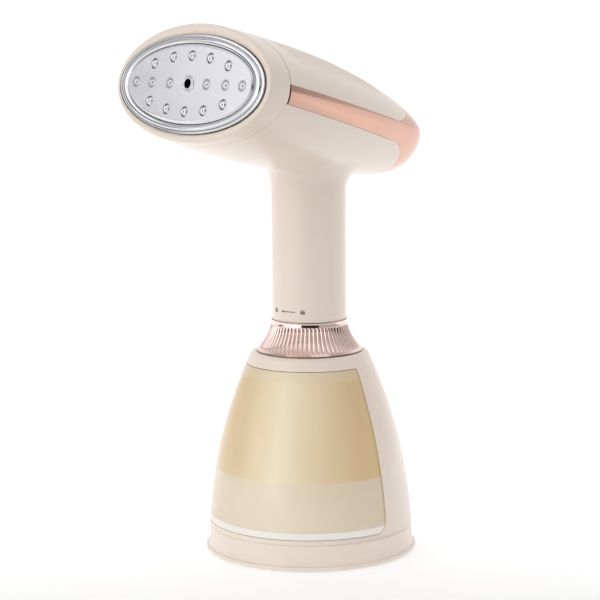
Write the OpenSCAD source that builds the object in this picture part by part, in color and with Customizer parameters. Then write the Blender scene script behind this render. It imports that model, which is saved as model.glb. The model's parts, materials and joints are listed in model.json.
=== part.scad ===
// Handheld garment steamer that stands on its own water tank.
// A fluted lock ring holds the handset on the tank. The handset is a round handle with a wide
// steam head. The steam side faces -Y, +Z is up and the origin is the centre of the foot.

/* [Tank] */
// Radius of the tank wall just above the foot
tank_r = 55.2; // [54.6:0.2:55.8]
// Radius of the foot's lip
foot_r = 57; // [56.6:0.2:58]
// Height of the tank's shoulder, where the lock ring sits
shoulder_h = 108.4; // [108:0.2:109]
// Height of the window's lower edge
window_low = 16.3; // [16:0.1:17]
// Height of the window's upper edge
window_high = 102; // [100:0.5:103]
// Wall of the tank and of its frame
tank_wall = 2; // [1.8:0.1:2.2]

/* [Lock ring] */
// Height of the lock ring
ring_h = 17.2; // [17:0.1:17.3]
// Number of grip flutes round the ring
flute_count = 60; // [40:2:64]
// Depth of the grooves between the flutes
flute_depth = 0.6; // [0.4:0.1:0.7]

/* [Handle] */
// Outside radius of the handle
handle_r = 20; // [20:0.1:20.4]
// Wall of the handle
handle_wall = 2.2; // [2:0.1:2.3]
// Height at which the handle starts
handle_low = 125.8; // [125.8:0.1:126]
// Radius of the blend between the handle and the head
neck_blend = 10; // [8:1:12]
// Travel of the steam button
button_travel = 2; // [1.6:0.2:2]

/* [Head] */
// Length of the head, from the face to the tail
head_l = 161.7; // [158:0.5:165]
// Tilt of the head's axis, nose up
head_tilt = 12.5; // [11:0.5:14]
// Half width of the face
face_half_w = 56.3; // [56:0.1:57]
// Height of the head above its axis at the face
face_top = 31.4; // [31:0.1:32]
// Depth of the head below its axis at the face
face_low = 29.2; // [29:0.1:30]
// Wall of the head's shells
head_wall = 2.2; // [2:0.1:2.4]
// Number of ribs across the top cover
rib_count = 21; // [16:1:24]
// Distance from one rib to the next
rib_pitch = 3.75; // [3.5:0.05:4]
// Depth of the grooves between the ribs
rib_depth = 0.7; // [0.4:0.1:1]

/* [Steam plate] */
// Half width of the satin plate
plate_half_w = 44.8; // [44:0.1:45]
// Half height of the satin plate
plate_half_h = 18.7; // [18.2:0.1:18.8]
// Distance between neighbouring steam points
hole_pitch = 13.5; // [13:0.1:14]
// Radius of a steam point's drilling
hole_r = 1.1; // [0.8:0.1:1.4]
// How far the plate stands out of the bezel
plate_out = 2.1; // [1.8:0.1:2.4]

/* [Hidden] */
$fn = 96;

cream = [0.95, 0.90, 0.84];
rose_gold = [0.85, 0.62, 0.53];
chrome = [0.80, 0.81, 0.83];
amber = [0.93, 0.83, 0.60, 0.6];
steel = [0.62, 0.63, 0.65];
cast_metal = [0.70, 0.70, 0.71];
black = [0.10, 0.10, 0.11];
silicone = [0.78, 0.77, 0.74];
white_plastic = [0.90, 0.90, 0.88];
copper = [0.72, 0.42, 0.26];
board_green = [0.10, 0.34, 0.20];

gap = 0.2;            // gap between shells of one body
running = 0.08;       // radial gap of a sliding or turning fit

// ---- tank ----
function tank_radius(z) = tank_r * (1 - 0.431 * pow(z / 108, 2.1));
base_top = 13.7;
pad_h = 2;
lip_h = 3.6;
neck_r = 19.8;
neck_bore_r = 17.6;
insert_bore_r = 15.2;
neck_top = 119;
floor_top = window_low + 4;
window_gap = 0.25;     // turn between the window's side and its frame

// A wall that follows the tank's outline from z0 to z1, between two insets
module tank_band(z0, z1, inset, wall, steps = 24) {
    heights = [for (k = [0:steps]) z0 + (z1 - z0) * k / steps];
    polygon(concat(
        [for (z = heights) [tank_radius(z) - inset, z]],
        [for (k = [steps:-1:0]) [tank_radius(heights[k]) - inset - wall, heights[k]]]
    ));
}

module turned_box(r_in, r_out, z0, z1) {
    rotate_extrude() translate([r_in, z0]) square([r_out - r_in, z1 - z0]);
}

module base_ring() {
    skirt = tank_radius(base_top);
    color(cream) rotate_extrude() polygon([
        [0, pad_h], [foot_r - 6, pad_h], [foot_r - 6, 0.6], [foot_r - 0.5, 0.6],
        [foot_r, 1.1], [foot_r, lip_h - 1.2], [foot_r - 0.6, lip_h - 0.6], [foot_r - 1.2, lip_h],
        [tank_r + 0.2, lip_h + 1], [tank_r - 0.03, lip_h + 2],
        [skirt, base_top], [skirt - tank_wall, base_top], [tank_r - tank_wall - 0.4, 5], [0, 5]
    ]);
}

module foot_pad() {
    color(black) cylinder(r = foot_r - 6.3, h = pad_h);
}

// Rear half of the tank's cover, with a full ring above and below the window
module tank_frame() {
    low = base_top + 0.1;
    color(cream) union() {
        rotate_extrude() tank_band(low, window_low, 0, tank_wall, 2);
        rotate_extrude(angle = 180) tank_band(window_low, window_high, 0, tank_wall);
        rotate_extrude() polygon(concat(
            [for (k = [0:4]) let (z = window_high + k * (shoulder_h - 2.8 - window_high) / 4)
                [tank_radius(z), z]],
            [[tank_radius(shoulder_h) + 0.15, shoulder_h - 1.5],
             [tank_radius(shoulder_h) - 0.55, shoulder_h - 0.6],
             [tank_radius(shoulder_h) - 1.6, shoulder_h - 0.1],
             [neck_r + running, shoulder_h - 0.1], [neck_r + running, shoulder_h - 2.6],
             [tank_radius(window_high) - tank_wall, window_high]]
        ));
    }
}

// Turns an outline across the front, from one side of the window to the other
module window_sweep() {
    rotate([0, 0, -window_gap]) rotate_extrude(angle = 2 * window_gap - 180) children();
}

// Pale dish that closes the tank from below; its front rim shows at the foot of the window
module tank_floor() {
    low = base_top + 0.4;
    color(white_plastic) union() {
        turned_box(0, tank_radius(window_low) - tank_wall - gap - 0.5, low, low + 2);
        rotate_extrude() tank_band(low, floor_top, tank_wall + gap, tank_wall, 4);
        window_sweep() tank_band(window_low + gap, floor_top, 0.05, tank_wall + gap, 4);
    }
}

// Clear cup with the neck; its front half stands out to fill the window
module water_tank() {
    low = floor_top + 0.02;
    top = window_high - gap;
    inner = tank_wall + gap;
    color(amber) union() {
        rotate_extrude() tank_band(low, top, inner, tank_wall);
        window_sweep() tank_band(low, top, 0.05, inner + 0.3);
        rotate_extrude() polygon([
            [tank_radius(top) - inner, top - 0.6], [neck_r, shoulder_h - 3.2], [neck_r, neck_top],
            [neck_bore_r, neck_top], [neck_bore_r, shoulder_h - 5.2],
            [tank_radius(top) - inner - tank_wall, top - 2.6]
        ]);
    }
}

// Lining of the neck, with two open slots for the spigot's lugs
module neck_insert() {
    color(white_plastic) difference() {
        union() {
            turned_box(insert_bore_r, neck_bore_r - 0.05, shoulder_h - 5, neck_top + 0.1);
            turned_box(insert_bore_r, neck_r - 0.1, neck_top + 0.1, neck_top + 1.6);
        }
        lug_bars(3.2, 17.2, shoulder_h + 4, neck_top + 3);
    }
}

module lug_bars(half_w, reach, z0, z1) {
    translate([-reach, -half_w, z0]) cube([2 * reach, 2 * half_w, z1 - z0]);
}

// ---- lock ring ----
ring_low = shoulder_h + 0.1;
ring_top = ring_low + ring_h;
function ring_radius(z) = handle_r + 0.4 + 8.4 * pow((ring_top - z) / ring_h, 1.9);
band_low = 1.6;
band_high = 2.6;

module lock_ring() {
    steps = 12;
    flute_z0 = ring_low + band_low;
    flute_z1 = ring_top - band_high;
    flute_w = 2 * PI * 22 / flute_count * 0.5;
    color(rose_gold) union() {
        rotate_extrude() polygon(concat(
            [[ring_radius(ring_low), ring_low], [ring_radius(flute_z0), flute_z0]],
            [for (k = [0:steps]) let (z = flute_z0 + 0.3 + (flute_z1 - flute_z0 - 0.6) * k / steps)
                [max(ring_radius(z) - flute_depth, handle_r + 0.25), z]],
            [[ring_radius(flute_z1), flute_z1], [ring_radius(ring_top), ring_top]],
            [for (k = [steps:-1:0]) let (z = ring_low + ring_h * k / steps)
                [max(ring_radius(z) - 1.2, handle_r), z]]
        ));
        for (k = [0:flute_count - 1]) rotate([0, 0, k * 360 / flute_count])
            rotate([90, 0, 0]) translate([0, 0, -flute_w / 2]) linear_extrude(flute_w)
                polygon(concat(
                    [for (i = [0:4]) let (z = flute_z0 + (flute_z1 - flute_z0) * i / 4)
                        [ring_radius(z) - 0.05, z]],
                    [for (i = [4:-1:0]) let (z = flute_z0 + (flute_z1 - flute_z0) * i / 4)
                        [max(ring_radius(z) - 1, handle_r + 0.1), z]]
                ));
    }
}

module lock_ring_core() {
    steps = 8;
    low = ring_low;
    high = ring_top - 1.5;
    color(white_plastic) rotate_extrude() polygon(concat(
        [[neck_r + running, low]],
        [for (k = [0:steps]) let (z = low + (high - low) * k / steps)
            [max(ring_radius(z) - 1.2, handle_r) - 0.05, z]],
        [[neck_r + running, high]]
    ));
}

// ---- head shape: ellipses across an axis that leans nose up ----
face_y = -84.3;
face_z = 254.2;
tail_half_w = 24.1;
tail_top = 8;
tail_low = 23.8;
belly = 8;            // extra depth of the underside ahead of the handle
end_power = 17.8;     // how late the tail closes
end_round = 2.6;      // how round it closes

function tail_close(u) = pow(max(0, 1 - pow(u, end_power)), 1 / end_round);
function half_width(u) = (face_half_w + (tail_half_w - face_half_w) * pow(u, 1.81)) * tail_close(u);
function height_up(u) = (face_top + (tail_top - face_top) * pow(u, 2.84)) * tail_close(u);
function depth_down(u) = (face_low + (tail_low - face_low) * pow(u, 2.06)
    + belly * sin(180 * u) * (1 - u)) * tail_close(u);

// A point of the head's skin, in the head's own frame: x across, y back, z up
function skin(u, angle, inset) = let (
        w = max(half_width(u) - inset, 0),
        h = max((sin(angle) > 0 ? height_up(u) : depth_down(u)) - inset, 0)
    ) [w * cos(angle), u * (head_l - inset), h * sin(angle)];

module head_frame() {
    translate([0, face_y, face_z]) rotate([-head_tilt, 0, 0]) children();
}

// Places a flat outline at depth s behind the face and gives it a thickness backwards
module slab(s, thickness) {
    translate([0, s, 0]) rotate([-90, 0, 0]) linear_extrude(thickness) children();
}

module oval(a, b) {
    polygon([for (k = [0:71]) [a * cos(5 * k), b * sin(5 * k)]]);
}

// Depth of the grooves between the ribs of the top cover, 0 on a rib and 1 in a groove
rib_start = 25;
rib_end = rib_start + rib_count * rib_pitch;
function rib_wave(s) = s < rib_start || s > rib_end ? 0
    : 0.5 - 0.5 * cos(360 * (s - rib_start) / rib_pitch);
function rib_fade(angle) = angle > 180 ? 0 : min(1, max(0, (sin(angle) - 0.45) / 0.3));

shell_sides = 40;
tail_us = [0.83, 0.88, 0.92, 0.95, 0.975, 0.99, 0.997, 0.9999];
shell_us = concat([0], [for (k = [1:10]) k * 0.075], tail_us);

// Closed skin of the head: a ring of points at each u, capped at both ends
module head_solid(inset, us = shell_us, groove = 0) {
    sides = shell_sides;
    count = len(us);
    rings = [for (u = us) [for (k = [0:sides - 1]) let (a = 360 * k / sides)
        skin(u, a, inset + groove * rib_fade(a) * rib_wave(u * head_l))]];
    polyhedron(
        points = [for (r = rings) each r],
        faces = concat(
            [[for (k = [sides - 1:-1:0]) k]],
            [for (i = [0:count - 2]) for (k = [0:sides - 1]) let (n = (k + 1) % sides)
                each [[i * sides + k, (i + 1) * sides + n, (i + 1) * sides + k],
                      [i * sides + k, i * sides + n, (i + 1) * sides + n]]],
            [[for (k = [0:sides - 1]) (count - 1) * sides + k]]
        )
    );
}

cover_front = 14.6;
strip_front = 15.2;
strip_top = 4.2;                    // height of the strip's upper edge at its front
strip_low = -5.2;                   // height of the strip's lower edge at its front
cover_tail = [113, 25.3, 23];       // rear curve of the cover: centre s, centre v, radius
housing_tail = [117, -29.5, 21];    // rear curve of the lower housing

// Side view of everything above the trim strip, with its rounded rear end
module cover_side(grow) {
    c = cover_tail;
    polygon(concat(
        [[cover_front - grow, 60], [cover_front - grow, strip_top - grow]],
        [for (a = [0:6:90]) [c[0] + (c[2] + grow) * sin(a), c[1] - (c[2] + grow) * cos(a)]],
        [[c[0] + c[2] + grow, 60]]
    ));
}

// Side view of everything below the trim strip
module housing_side(grow) {
    c = housing_tail;
    polygon(concat(
        [[-2, -60], [-2, strip_low + grow]],
        [for (a = [0:6:90]) [c[0] + (c[2] + grow) * sin(a), c[1] + (c[2] + grow) * cos(a)]],
        [[c[0] + c[2] + grow, -60]]
    ));
}

// Side view of the front bezel; its rear seam leans back towards the strip
module bezel_side(grow) {
    polygon([[-2, -60], [8.5 + grow, -60], [9 + grow, -29], [cover_front - 0.4 + grow, -5],
             [cover_front - 0.4 + grow, 60], [-2, 60]]);
}

// Carries a side view across the whole head
module across() {
    translate([-70, 0, 0]) rotate([90, 0, 90]) linear_extrude(140) children();
}

module top_cover() {
    rib_us = concat(
        [0.04],
        [for (k = [0:rib_count * 3]) (rib_start + k * rib_pitch / 3) / head_l],
        [0.7, 0.76, 0.82, 0.87, 0.91]
    );
    color(cream) head_frame() intersection() {
        difference() {
            head_solid(0, rib_us, rib_depth);
            head_solid(head_wall);
        }
        across() cover_side(-gap / 2);
    }
}

module trim_band() {
    color(rose_gold) head_frame() difference() {
        head_solid(0);
        head_solid(head_wall);
        across() cover_side(gap / 2);
        across() housing_side(gap / 2);
        translate([-70, -5, -60]) cube([140, strip_front + 5, 120]);
    }
}

bezel_lip = 3;
bezel_hole = [53.8, 25.7];

module front_bezel() {
    bezel_us = [0, 0.03, 0.07, 0.11];
    color(cream) head_frame() difference() {
        intersection() {
            head_solid(0, bezel_us);
            across() bezel_side(0);
        }
        translate([0, bezel_lip, 0]) head_solid(head_wall, bezel_us);
        slab(-1, bezel_lip + 2) oval(bezel_hole[0], bezel_hole[1]);
    }
}

// ---- main housing ----
function underside_v(x, u) = -depth_down(u) * sqrt(max(0, 1 - pow(x / half_width(u), 2)));
function underside_s(x, y, s, n) = n == 0 ? s : underside_s(x, y,
    (y - face_y - underside_v(x, s / head_l) * sin(head_tilt)) / cos(head_tilt), n - 1);
function underside_z(x, y) = let (s = underside_s(x, y, y - face_y, 8))
    face_z - s * sin(head_tilt) + underside_v(x, s / head_l) * cos(head_tilt);

tube_top = 188;       // the handle's plain shell ends here, below the blend
bore_r = handle_r - handle_wall;

// Solid blend that rises from the handle and flows into the head's underside
module neck_plug() {
    sides = 48;
    steps = 6;
    r0 = handle_r;
    r1 = handle_r + neck_blend - 0.02;
    function at(r, a, lift) = let (x = r * cos(a), y = r * sin(a)) [x, y, underside_z(x, y) + lift];
    function mix(p, q, t) = p + (q - p) * t;
    function curve(a, t) = let (
            top = at(r1, a, 0), corner = at(r0, a, 0),
            low = [corner[0], corner[1], corner[2] - neck_blend]
        ) mix(mix(low, corner, t), mix(corner, top, t), t);
    rings = concat(
        [[for (k = [0:sides - 1]) let (a = 360 * k / sides) [r0 * cos(a), r0 * sin(a), tube_top]]],
        [for (i = [0:steps]) [for (k = [0:sides - 1]) curve(360 * k / sides, i / steps)]],
        [[for (k = [0:sides - 1]) at(r1 - 0.05, 360 * k / sides, head_wall - 0.1)],
         [for (k = [0:sides - 1]) at(bore_r - 3, 360 * k / sides, head_wall - 0.1)]]
    );
    count = len(rings);
    polyhedron(
        points = concat([for (r = rings) each r], [[0, 0, tube_top], at(0, 0, head_wall - 0.1)]),
        faces = concat(
            [for (k = [0:sides - 1]) [k, (k + 1) % sides, count * sides]],
            [for (i = [0:count - 2]) for (k = [0:sides - 1]) let (n = (k + 1) % sides)
                each [[i * sides + k, (i + 1) * sides + n, i * sides + n],
                      [i * sides + k, (i + 1) * sides + k, (i + 1) * sides + n]]],
            [for (k = [0:sides - 1])
                [(count - 1) * sides + (k + 1) % sides, (count - 1) * sides + k, count * sides + 1]]
        )
    );
}

button_z = 168;
button_w = 14;
button_l = 34;
frame_w = 17.2;
lens_z = 190.5;
lens_r = 2;
gland_z = 137;
gland_r = 5.5;
gland_flange_r = 6.6;

// Upright slot shape, carried along +Y from y0 to y1
module slot_bar(w, l, z, y0, y1) {
    translate([0, y1, z]) rotate([90, 0, 0]) linear_extrude(y1 - y0) {
        square([w, l - w], center = true);
        translate([0, (l - w) / 2]) circle(d = w);
        translate([0, -(l - w) / 2]) circle(d = w);
    }
}

// Round bar along +Y from y0 to y1
module y_bar(r, x, z, y0, y1) {
    translate([x, y1, z]) rotate([90, 0, 0]) cylinder(r = r, h = y1 - y0);
}

// Lower tub of the head, with a round hole that the neck fills flush with the skin
module main_housing() {
    color(cream) difference() {
        head_frame() difference() {
            intersection() {
                head_solid(0);
                across() housing_side(-gap / 2);
            }
            head_solid(head_wall);
            across() bezel_side(gap);
        }
        cylinder_at(handle_r + neck_blend, tube_top, tube_top + 35);
    }
}

module handle_neck() {
    color(cream) difference() {
        neck_plug();
        cylinder_at(bore_r, tube_top - 5, tube_top + 40);
        y_bar(lens_r + 0.1, 0, lens_z, 10, handle_r + 5);
    }
}

module handle_shell() {
    color(cream) difference() {
        turned_box(bore_r, handle_r, handle_low, tube_top);
        slot_bar(frame_w, button_l + 3.2, button_z, 10, handle_r + 5);
        y_bar(gland_r + 0.1, 0, gland_z, 10, handle_r + 5);
        y_bar(gland_flange_r + 0.1, 0, gland_z, handle_r - 1.5, handle_r + 5);
    }
}

// Small padlock with its shackle open or closed
module padlock(x, lift) {
    translate([x, 0]) {
        translate([-1, -1]) square([2, 1.5]);
        translate([0, 0.4 + lift]) difference() {
            circle(r = 0.85, $fn = 24);
            circle(r = 0.5, $fn = 24);
            translate([-1, -1.4 - lift]) square([2, 1.4]);
        }
    }
}

// Signs on the front of the handle that show which way the lock ring turns
module lock_mark() {
    color("dimgray") intersection() {
        turned_box(handle_r + 0.02, handle_r + 0.15, handle_low + 2, handle_low + 10);
        translate([0, 0, handle_low + 5.6]) rotate([90, 0, 0]) linear_extrude(handle_r + 2) {
            padlock(-5.6, 0.1);
            polygon([[-1.4, 0], [0.2, 0.75], [0.2, -0.75]]);
            translate([0.1, -0.22]) square([7.6, 0.44]);
            padlock(11.2, 0);
        }
    }
}

// ---- steam plate ----
plate_edge = [plate_half_w + 1.1, plate_half_h + 1.7];     // half width and height behind its chamfer

// Closed skin through a run of ovals, each [half width, half height, depth]; the last meets the first
module oval_stack(ovals, capped) {
    sides = 72;
    m = len(ovals);
    last = capped ? m - 2 : m - 1;
    caps = capped ? [[for (k = [0:sides - 1]) k * m], [for (k = [sides - 1:-1:0]) k * m + m - 1]] : [];
    polyhedron(
        points = [for (k = [0:sides - 1]) each [for (q = ovals) let (a = 360 * k / sides)
            [q[0] * cos(a), q[2], q[1] * sin(a)]]],
        faces = concat(caps, [for (k = [0:sides - 1]) for (j = [0:last])
            let (n = (k + 1) % sides, i = (j + 1) % m)
            each [[k * m + j, n * m + j, n * m + i], [k * m + j, n * m + i, k * m + i]]])
    );
}

// Oval ring round the plate: a low flange, a step and a rounded band beside the plate
module plate_rim() {
    w = plate_edge[0];
    h = plate_edge[1];
    color(chrome) head_frame() oval_stack([
        [w + 0.3, h + 0.3, 4.5], [w + 0.3, h + 0.3, -0.8], [w + 0.9, h + 0.8, -1.3],
        [w + 2.2, h + 1.8, -1.6], [w + 3.5, h + 2.7, -1.3], [w + 4.4, h + 3.4, -0.5],
        [w + 5.2, h + 3.9, -0.1], [w + 7.5, h + 4.8, 0.1], [w + 7.5, h + 4.8, 4.5]
    ], false);
}

plate_s = -plate_out;
plate_t = 1.6;
row_half_h = 14.2;    // height of the outer rows at the middle of the plate
row_half_w = 36.9;    // where the outer rows would meet the middle one
middle_row = concat([for (k = [1:2]) each [-k * hole_pitch, k * hole_pitch]],
                    [-2.88 * hole_pitch, 2.88 * hole_pitch]);
function row_height(x) = row_half_h * sqrt(1 - pow(x / row_half_w, 2));
outer_rows = [for (k = [-2:2]) for (side = [-1, 1]) [k * hole_pitch, side * row_height(k * hole_pitch)]];

module steam_plate() {
    color(steel) head_frame() difference() {
        oval_stack([[plate_half_w, plate_half_h, plate_s], [plate_edge[0], plate_edge[1], plate_s + 1],
                    [plate_edge[0], plate_edge[1], 4.4]], true);
        slab(plate_s + plate_t, 8) oval(plate_half_w - 0.6, plate_half_h - 0.4);
        for (x = middle_row) steam_point(x, 0);
        for (p = outer_rows) steam_point(p[0], p[1]);
        y_bar(2.6, 0, 0, plate_s - 1, 8);
    }
}

// Drilling with a countersink on the steam side
module steam_point(x, v) {
    y_bar(hole_r, x, v, plate_s - 1, 8);
    translate([x, plate_s + 0.8, v]) rotate([90, 0, 0])
        cylinder(r1 = hole_r, r2 = hole_r + 1.8, h = 0.9);
}

module plate_seal() {
    color(silicone) head_frame() slab(4.6, 2.7) difference() {
        oval(plate_edge[0] + 5.6, plate_edge[1] + 4.5);
        oval(plate_edge[0] - 1.7, plate_edge[1] - 2.1);
    }
}

module centre_nozzle() {
    color(chrome) head_frame() difference() {
        union() {
            y_bar(4.6, 0, 0, plate_s - 1, plate_s - 0.05);
            y_bar(2.5, 0, 0, plate_s - 1, plate_s + plate_t + 1.4);
        }
        y_bar(1.6, 0, 0, plate_s - 2, 8);
    }
}

// ---- boiler ----
block_s = 7.4;
block_t = 19.6;
block_a = 47;
block_b = 21.5;
lid_s = block_s + block_t + 1.2;
lid_t = 3;
heater_s = 19.6;
heater_v = 9;
heater_r = 3.2;
screw_x = 18;
screw_v = 17.5;
screw_r = 1.5;

module boiler_screw_places() {
    for (x = [-screw_x, screw_x]) for (v = [-screw_v, screw_v]) translate([x, 0, v]) children();
}

// U-shaped tube: two legs joined by a half round bend
module heater_shape(r) {
    bend_x = 26;
    for (side = [-1, 1]) translate([-46, heater_s, side * heater_v]) rotate([0, 90, 0])
        cylinder(r = r, h = 46 + bend_x);
    translate([bend_x, heater_s, 0]) rotate([90, 0, 0]) rotate([0, 0, -90])
        rotate_extrude(angle = 180) translate([heater_v, 0]) circle(r = r);
}

module boiler_block() {
    color(cast_metal) head_frame() difference() {
        slab(block_s, block_t) oval(block_a, block_b);
        slab(block_s - 1, 4.6) oval(block_a - 7, block_b - 6);
        heater_shape(heater_r + 0.05);
        boiler_screw_places() y_bar(screw_r + 0.05, 0, 0, 14, 40);
        y_bar(1.3, 0, -9, block_s, 40);
    }
}

module boiler_gasket() {
    color(silicone) head_frame() difference() {
        slab(lid_s - 1.1, 1) oval(block_a, block_b);
        slab(lid_s - 2, 3) oval(block_a - 4, screw_v - 2.4);
        boiler_screw_places() y_bar(screw_r + 0.1, 0, 0, 14, 40);
    }
}

module boiler_lid() {
    color(cast_metal) head_frame() difference() {
        slab(lid_s, lid_t) oval(block_a, block_b);
        boiler_screw_places() y_bar(screw_r + 0.1, 0, 0, 14, 40);
        y_bar(1.3, 0, -9, block_s, 40);
    }
}

module boiler_screws() {
    color(steel) head_frame() boiler_screw_places() {
        y_bar(screw_r, 0, 0, 14.5, lid_s + lid_t + 1);
        y_bar(2.8, 0, 0, lid_s + lid_t + 0.02, lid_s + lid_t + 2);
    }
}

// Heat-proof ring that carries the boiler inside the head
module boiler_holder() {
    color(black) head_frame() slab(11, 5) difference() {
        oval(52.4, 26.2);
        oval(block_a + 0.1, block_b + 0.1);
    }
}

module heating_element() {
    color(steel) head_frame() heater_shape(heater_r);
}

module heater_terminals() {
    color("goldenrod") head_frame() for (side = [-1, 1])
        translate([-49, heater_s - 0.4, side * heater_v - 1.5]) cube([2.95, 0.8, 3]);
}

module thermostat() {
    back = lid_s + lid_t + 0.02;
    color(black) head_frame() {
        y_bar(8, 16, 0, back, back + 5);
        for (x = [11, 21]) translate([x - 1.6, back + 4, -0.4]) cube([3.2, 4.5, 0.8]);
    }
}

module thermal_fuse() {
    color(white_plastic) head_frame() translate([-32, lid_s + lid_t + 2.5, 7]) rotate([0, 90, 0])
        cylinder(r = 2.3, h = 18);
}

inlet_back = 41;
module inlet_elbow() {
    color(steel) head_frame() difference() {
        union() {
            y_bar(4, 0, -9, lid_s + lid_t + 0.02, lid_s + lid_t + 2.5);
            y_bar(2.2, 0, -9, lid_s + lid_t + 0.02, inlet_back);
        }
        y_bar(1.3, 0, -9, block_s, 50);
    }
}

post_places = [[-22, 60], [22, 60], [0, 108]];

// Tray behind the boiler, with posts that the top cover is screwed to
module head_chassis() {
    color(white_plastic) head_frame() difference() {
        union() {
            translate([0, 0, -2]) linear_extrude(2)
                polygon([[-38, 45], [38, 45], [20, 124], [-20, 124]]);
            for (p = post_places) translate([p[0], p[1], -2]) cylinder(r = 3.4, h = 16);
        }
        for (p = post_places) translate([p[0], p[1], -3]) cylinder(r = 1.5, h = 14);
    }
}

module chassis_screws() {
    color(steel) head_frame() for (p = post_places) {
        translate([p[0], p[1], -2.05]) cylinder(r = 1.4, h = 11);
        translate([p[0], p[1], -4]) cylinder(r = 2.7, h = 1.95);
    }
}

// ---- spigot and dip tube ----
cap_z = 126;
spigot_r = 15.1;
spigot_low = 106;
lug_z = 113;
tube_y = -4.5;        // where the hose passes the cap

module end_cap() {
    color(white_plastic) difference() {
        union() {
            turned_box(0, bore_r - 0.1, cap_z, cap_z + 3);
            turned_box(12.6, spigot_r, spigot_low, cap_z);
            turned_box(0, 13, spigot_low, spigot_low + 2);
            turned_box(0, 2.4, spigot_low, spigot_low + 5);
            difference() {
                lug_bars(2.5, 16.9, lug_z, lug_z + 3.5);
                translate([0, 0, lug_z - 1]) cylinder(r = 14, h = 6);
            }
        }
        translate([0, 0, spigot_low - 1]) cylinder(r = 1.4, h = 8);
        translate([0, tube_y, cap_z - 1]) cylinder(r = 4.4, h = 6);
        turned_box(13.5, spigot_r + 1, spigot_low + 3, spigot_low + 5.4);
    }
}

module spigot_seal() {
    color(black) translate([0, 0, spigot_low + 4.2]) rotate_extrude()
        translate([14.33, 0]) circle(r = 0.75, $fn = 24);
}

strainer_low = 18;
module dip_tube() {
    color(silicone) turned_box(1.4, 2.4, strainer_low + 5, spigot_low - 0.02);
}

module strainer() {
    color(steel) difference() {
        cylinder_at(5.5, strainer_low, strainer_low + 10);
        cylinder_at(2.45, strainer_low + 4.9, strainer_low + 11);
        cylinder_at(1.2, strainer_low - 1, strainer_low + 6);
        for (k = [0:2]) translate([0, 0, strainer_low + 1.2 + 1.6 * k])
            turned_box(4.6, 6, 0, 0.7);
    }
}

module cylinder_at(r, z0, z1) {
    translate([0, 0, z0]) cylinder(r = r, h = z1 - z0);
}

// ---- hoses, wires and springs ----
function bezier(p, t) = pow(1 - t, 3) * p[0] + 3 * pow(1 - t, 2) * t * p[1]
    + 3 * (1 - t) * t * t * p[2] + pow(t, 3) * p[3];
function bezier_path(p, steps) = [for (i = [0:steps]) bezier(p, i / steps)];
function unit(v) = v / norm(v);

// Round bar that follows a path; side keeps the rings from twisting
module swept(path, r, sides, side) {
    n = len(path);
    rings = [for (i = [0:n - 1]) let (
            along = unit(path[min(i + 1, n - 1)] - path[max(i - 1, 0)]),
            out = unit(cross(along, side)),
            over = cross(along, out)
        ) [for (k = [0:sides - 1]) let (a = 360 * k / sides)
            path[i] + r * (cos(a) * out + sin(a) * over)]];
    polyhedron(
        points = [for (q = rings) each q],
        faces = concat(
            [[for (k = [sides - 1:-1:0]) k]],
            [for (i = [0:n - 2]) for (k = [0:sides - 1]) let (m = (k + 1) % sides)
                each [[i * sides + k, (i + 1) * sides + m, (i + 1) * sides + k],
                      [i * sides + k, i * sides + m, (i + 1) * sides + m]]],
            [[for (k = [0:sides - 1]) (n - 1) * sides + k]]
        )
    );
}

pump_y = -5.5;
pump_low = 131.5;
pump_high = 174;

module suction_hose() {
    color(silicone) swept(bezier_path([
        [0, 0, spigot_low + 5.05], [0, 0, spigot_low + 16], [0, pump_y, pump_low - 16],
        [0, pump_y, pump_low - 0.05]], 12), 2.4, 10, [1, 0, 0]);
}

function in_head(p) = [p[0], face_y + p[1] * cos(head_tilt) + p[2] * sin(head_tilt),
    face_z - p[1] * sin(head_tilt) + p[2] * cos(head_tilt)];

module pressure_hose() {
    color(silicone) swept(bezier_path([
        [0, pump_y, pump_high + 0.05], [0, pump_y, pump_high + 40],
        in_head([0, inlet_back + 22, -9]), in_head([0, inlet_back + 0.05, -9])], 14),
        2.4, 10, [1, 0, 0]);
}

module wires() {
    for (side = [-1, 1]) {
        end = side > 0 ? in_head([11, lid_s + lid_t + 9, -4]) : in_head([-14, lid_s + lid_t + 8, 0]);
        before = side > 0 ? in_head([14, 62, -12]) : in_head([-14, 60, -14]);
        color(side > 0 ? "saddlebrown" : "royalblue") swept(concat(
            bezier_path([[side * 5, 7, 136.85], [side * 6.5, 8, 141], [side * 14.6, 5, 139],
                         [side * 14.6, 1, 152]], 7),
            bezier_path([[side * 14.6, 1, 190], [side * 14.6, 1, 222], before, end], 10)
        ), 1, 8, [1, 0.2, 0]);
    }
}

// Coil spring that stands along +Z on its lower end
module coil_spring(r, wire, length, turns) {
    steps = 14;
    last = turns * steps;
    swept([for (i = [0:last]) [r * cos(360 * i / steps), r * sin(360 * i / steps),
        wire + (length - 2 * wire) * i / last]], wire, 6, [0, 0, 1]);
}

// ---- pump ----
module at_pump() {
    translate([0, pump_y, 0]) children();
}

module pump_body() {
    color(white_plastic) at_pump() difference() {
        union() {
            cylinder_at(2.4, pump_low, pump_high);
            cylinder_at(8, 137, 168);
        }
        cylinder_at(4.2, 141, 164);
        cylinder_at(1.2, pump_low - 1, pump_high + 1);
    }
}

module pump_coil() {
    color(copper) at_pump() turned_box(8.1, 10.9, 142, 158);
}

module pump_yoke() {
    color(steel) at_pump() {
        turned_box(8.1, 11.7, 140, 141.9);
        turned_box(8.1, 11.7, 158.1, 160);
        turned_box(11, 11.7, 140, 160);
    }
}

plunger_top = 156;
module pump_plunger() {
    color(steel) at_pump() turned_box(1, 4.2 - running, 143, plunger_top);
}

module pump_spring() {
    color(steel) at_pump() translate([0, 0, plunger_top + 0.05]) coil_spring(3, 0.35, 7.9, 5);
}

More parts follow.
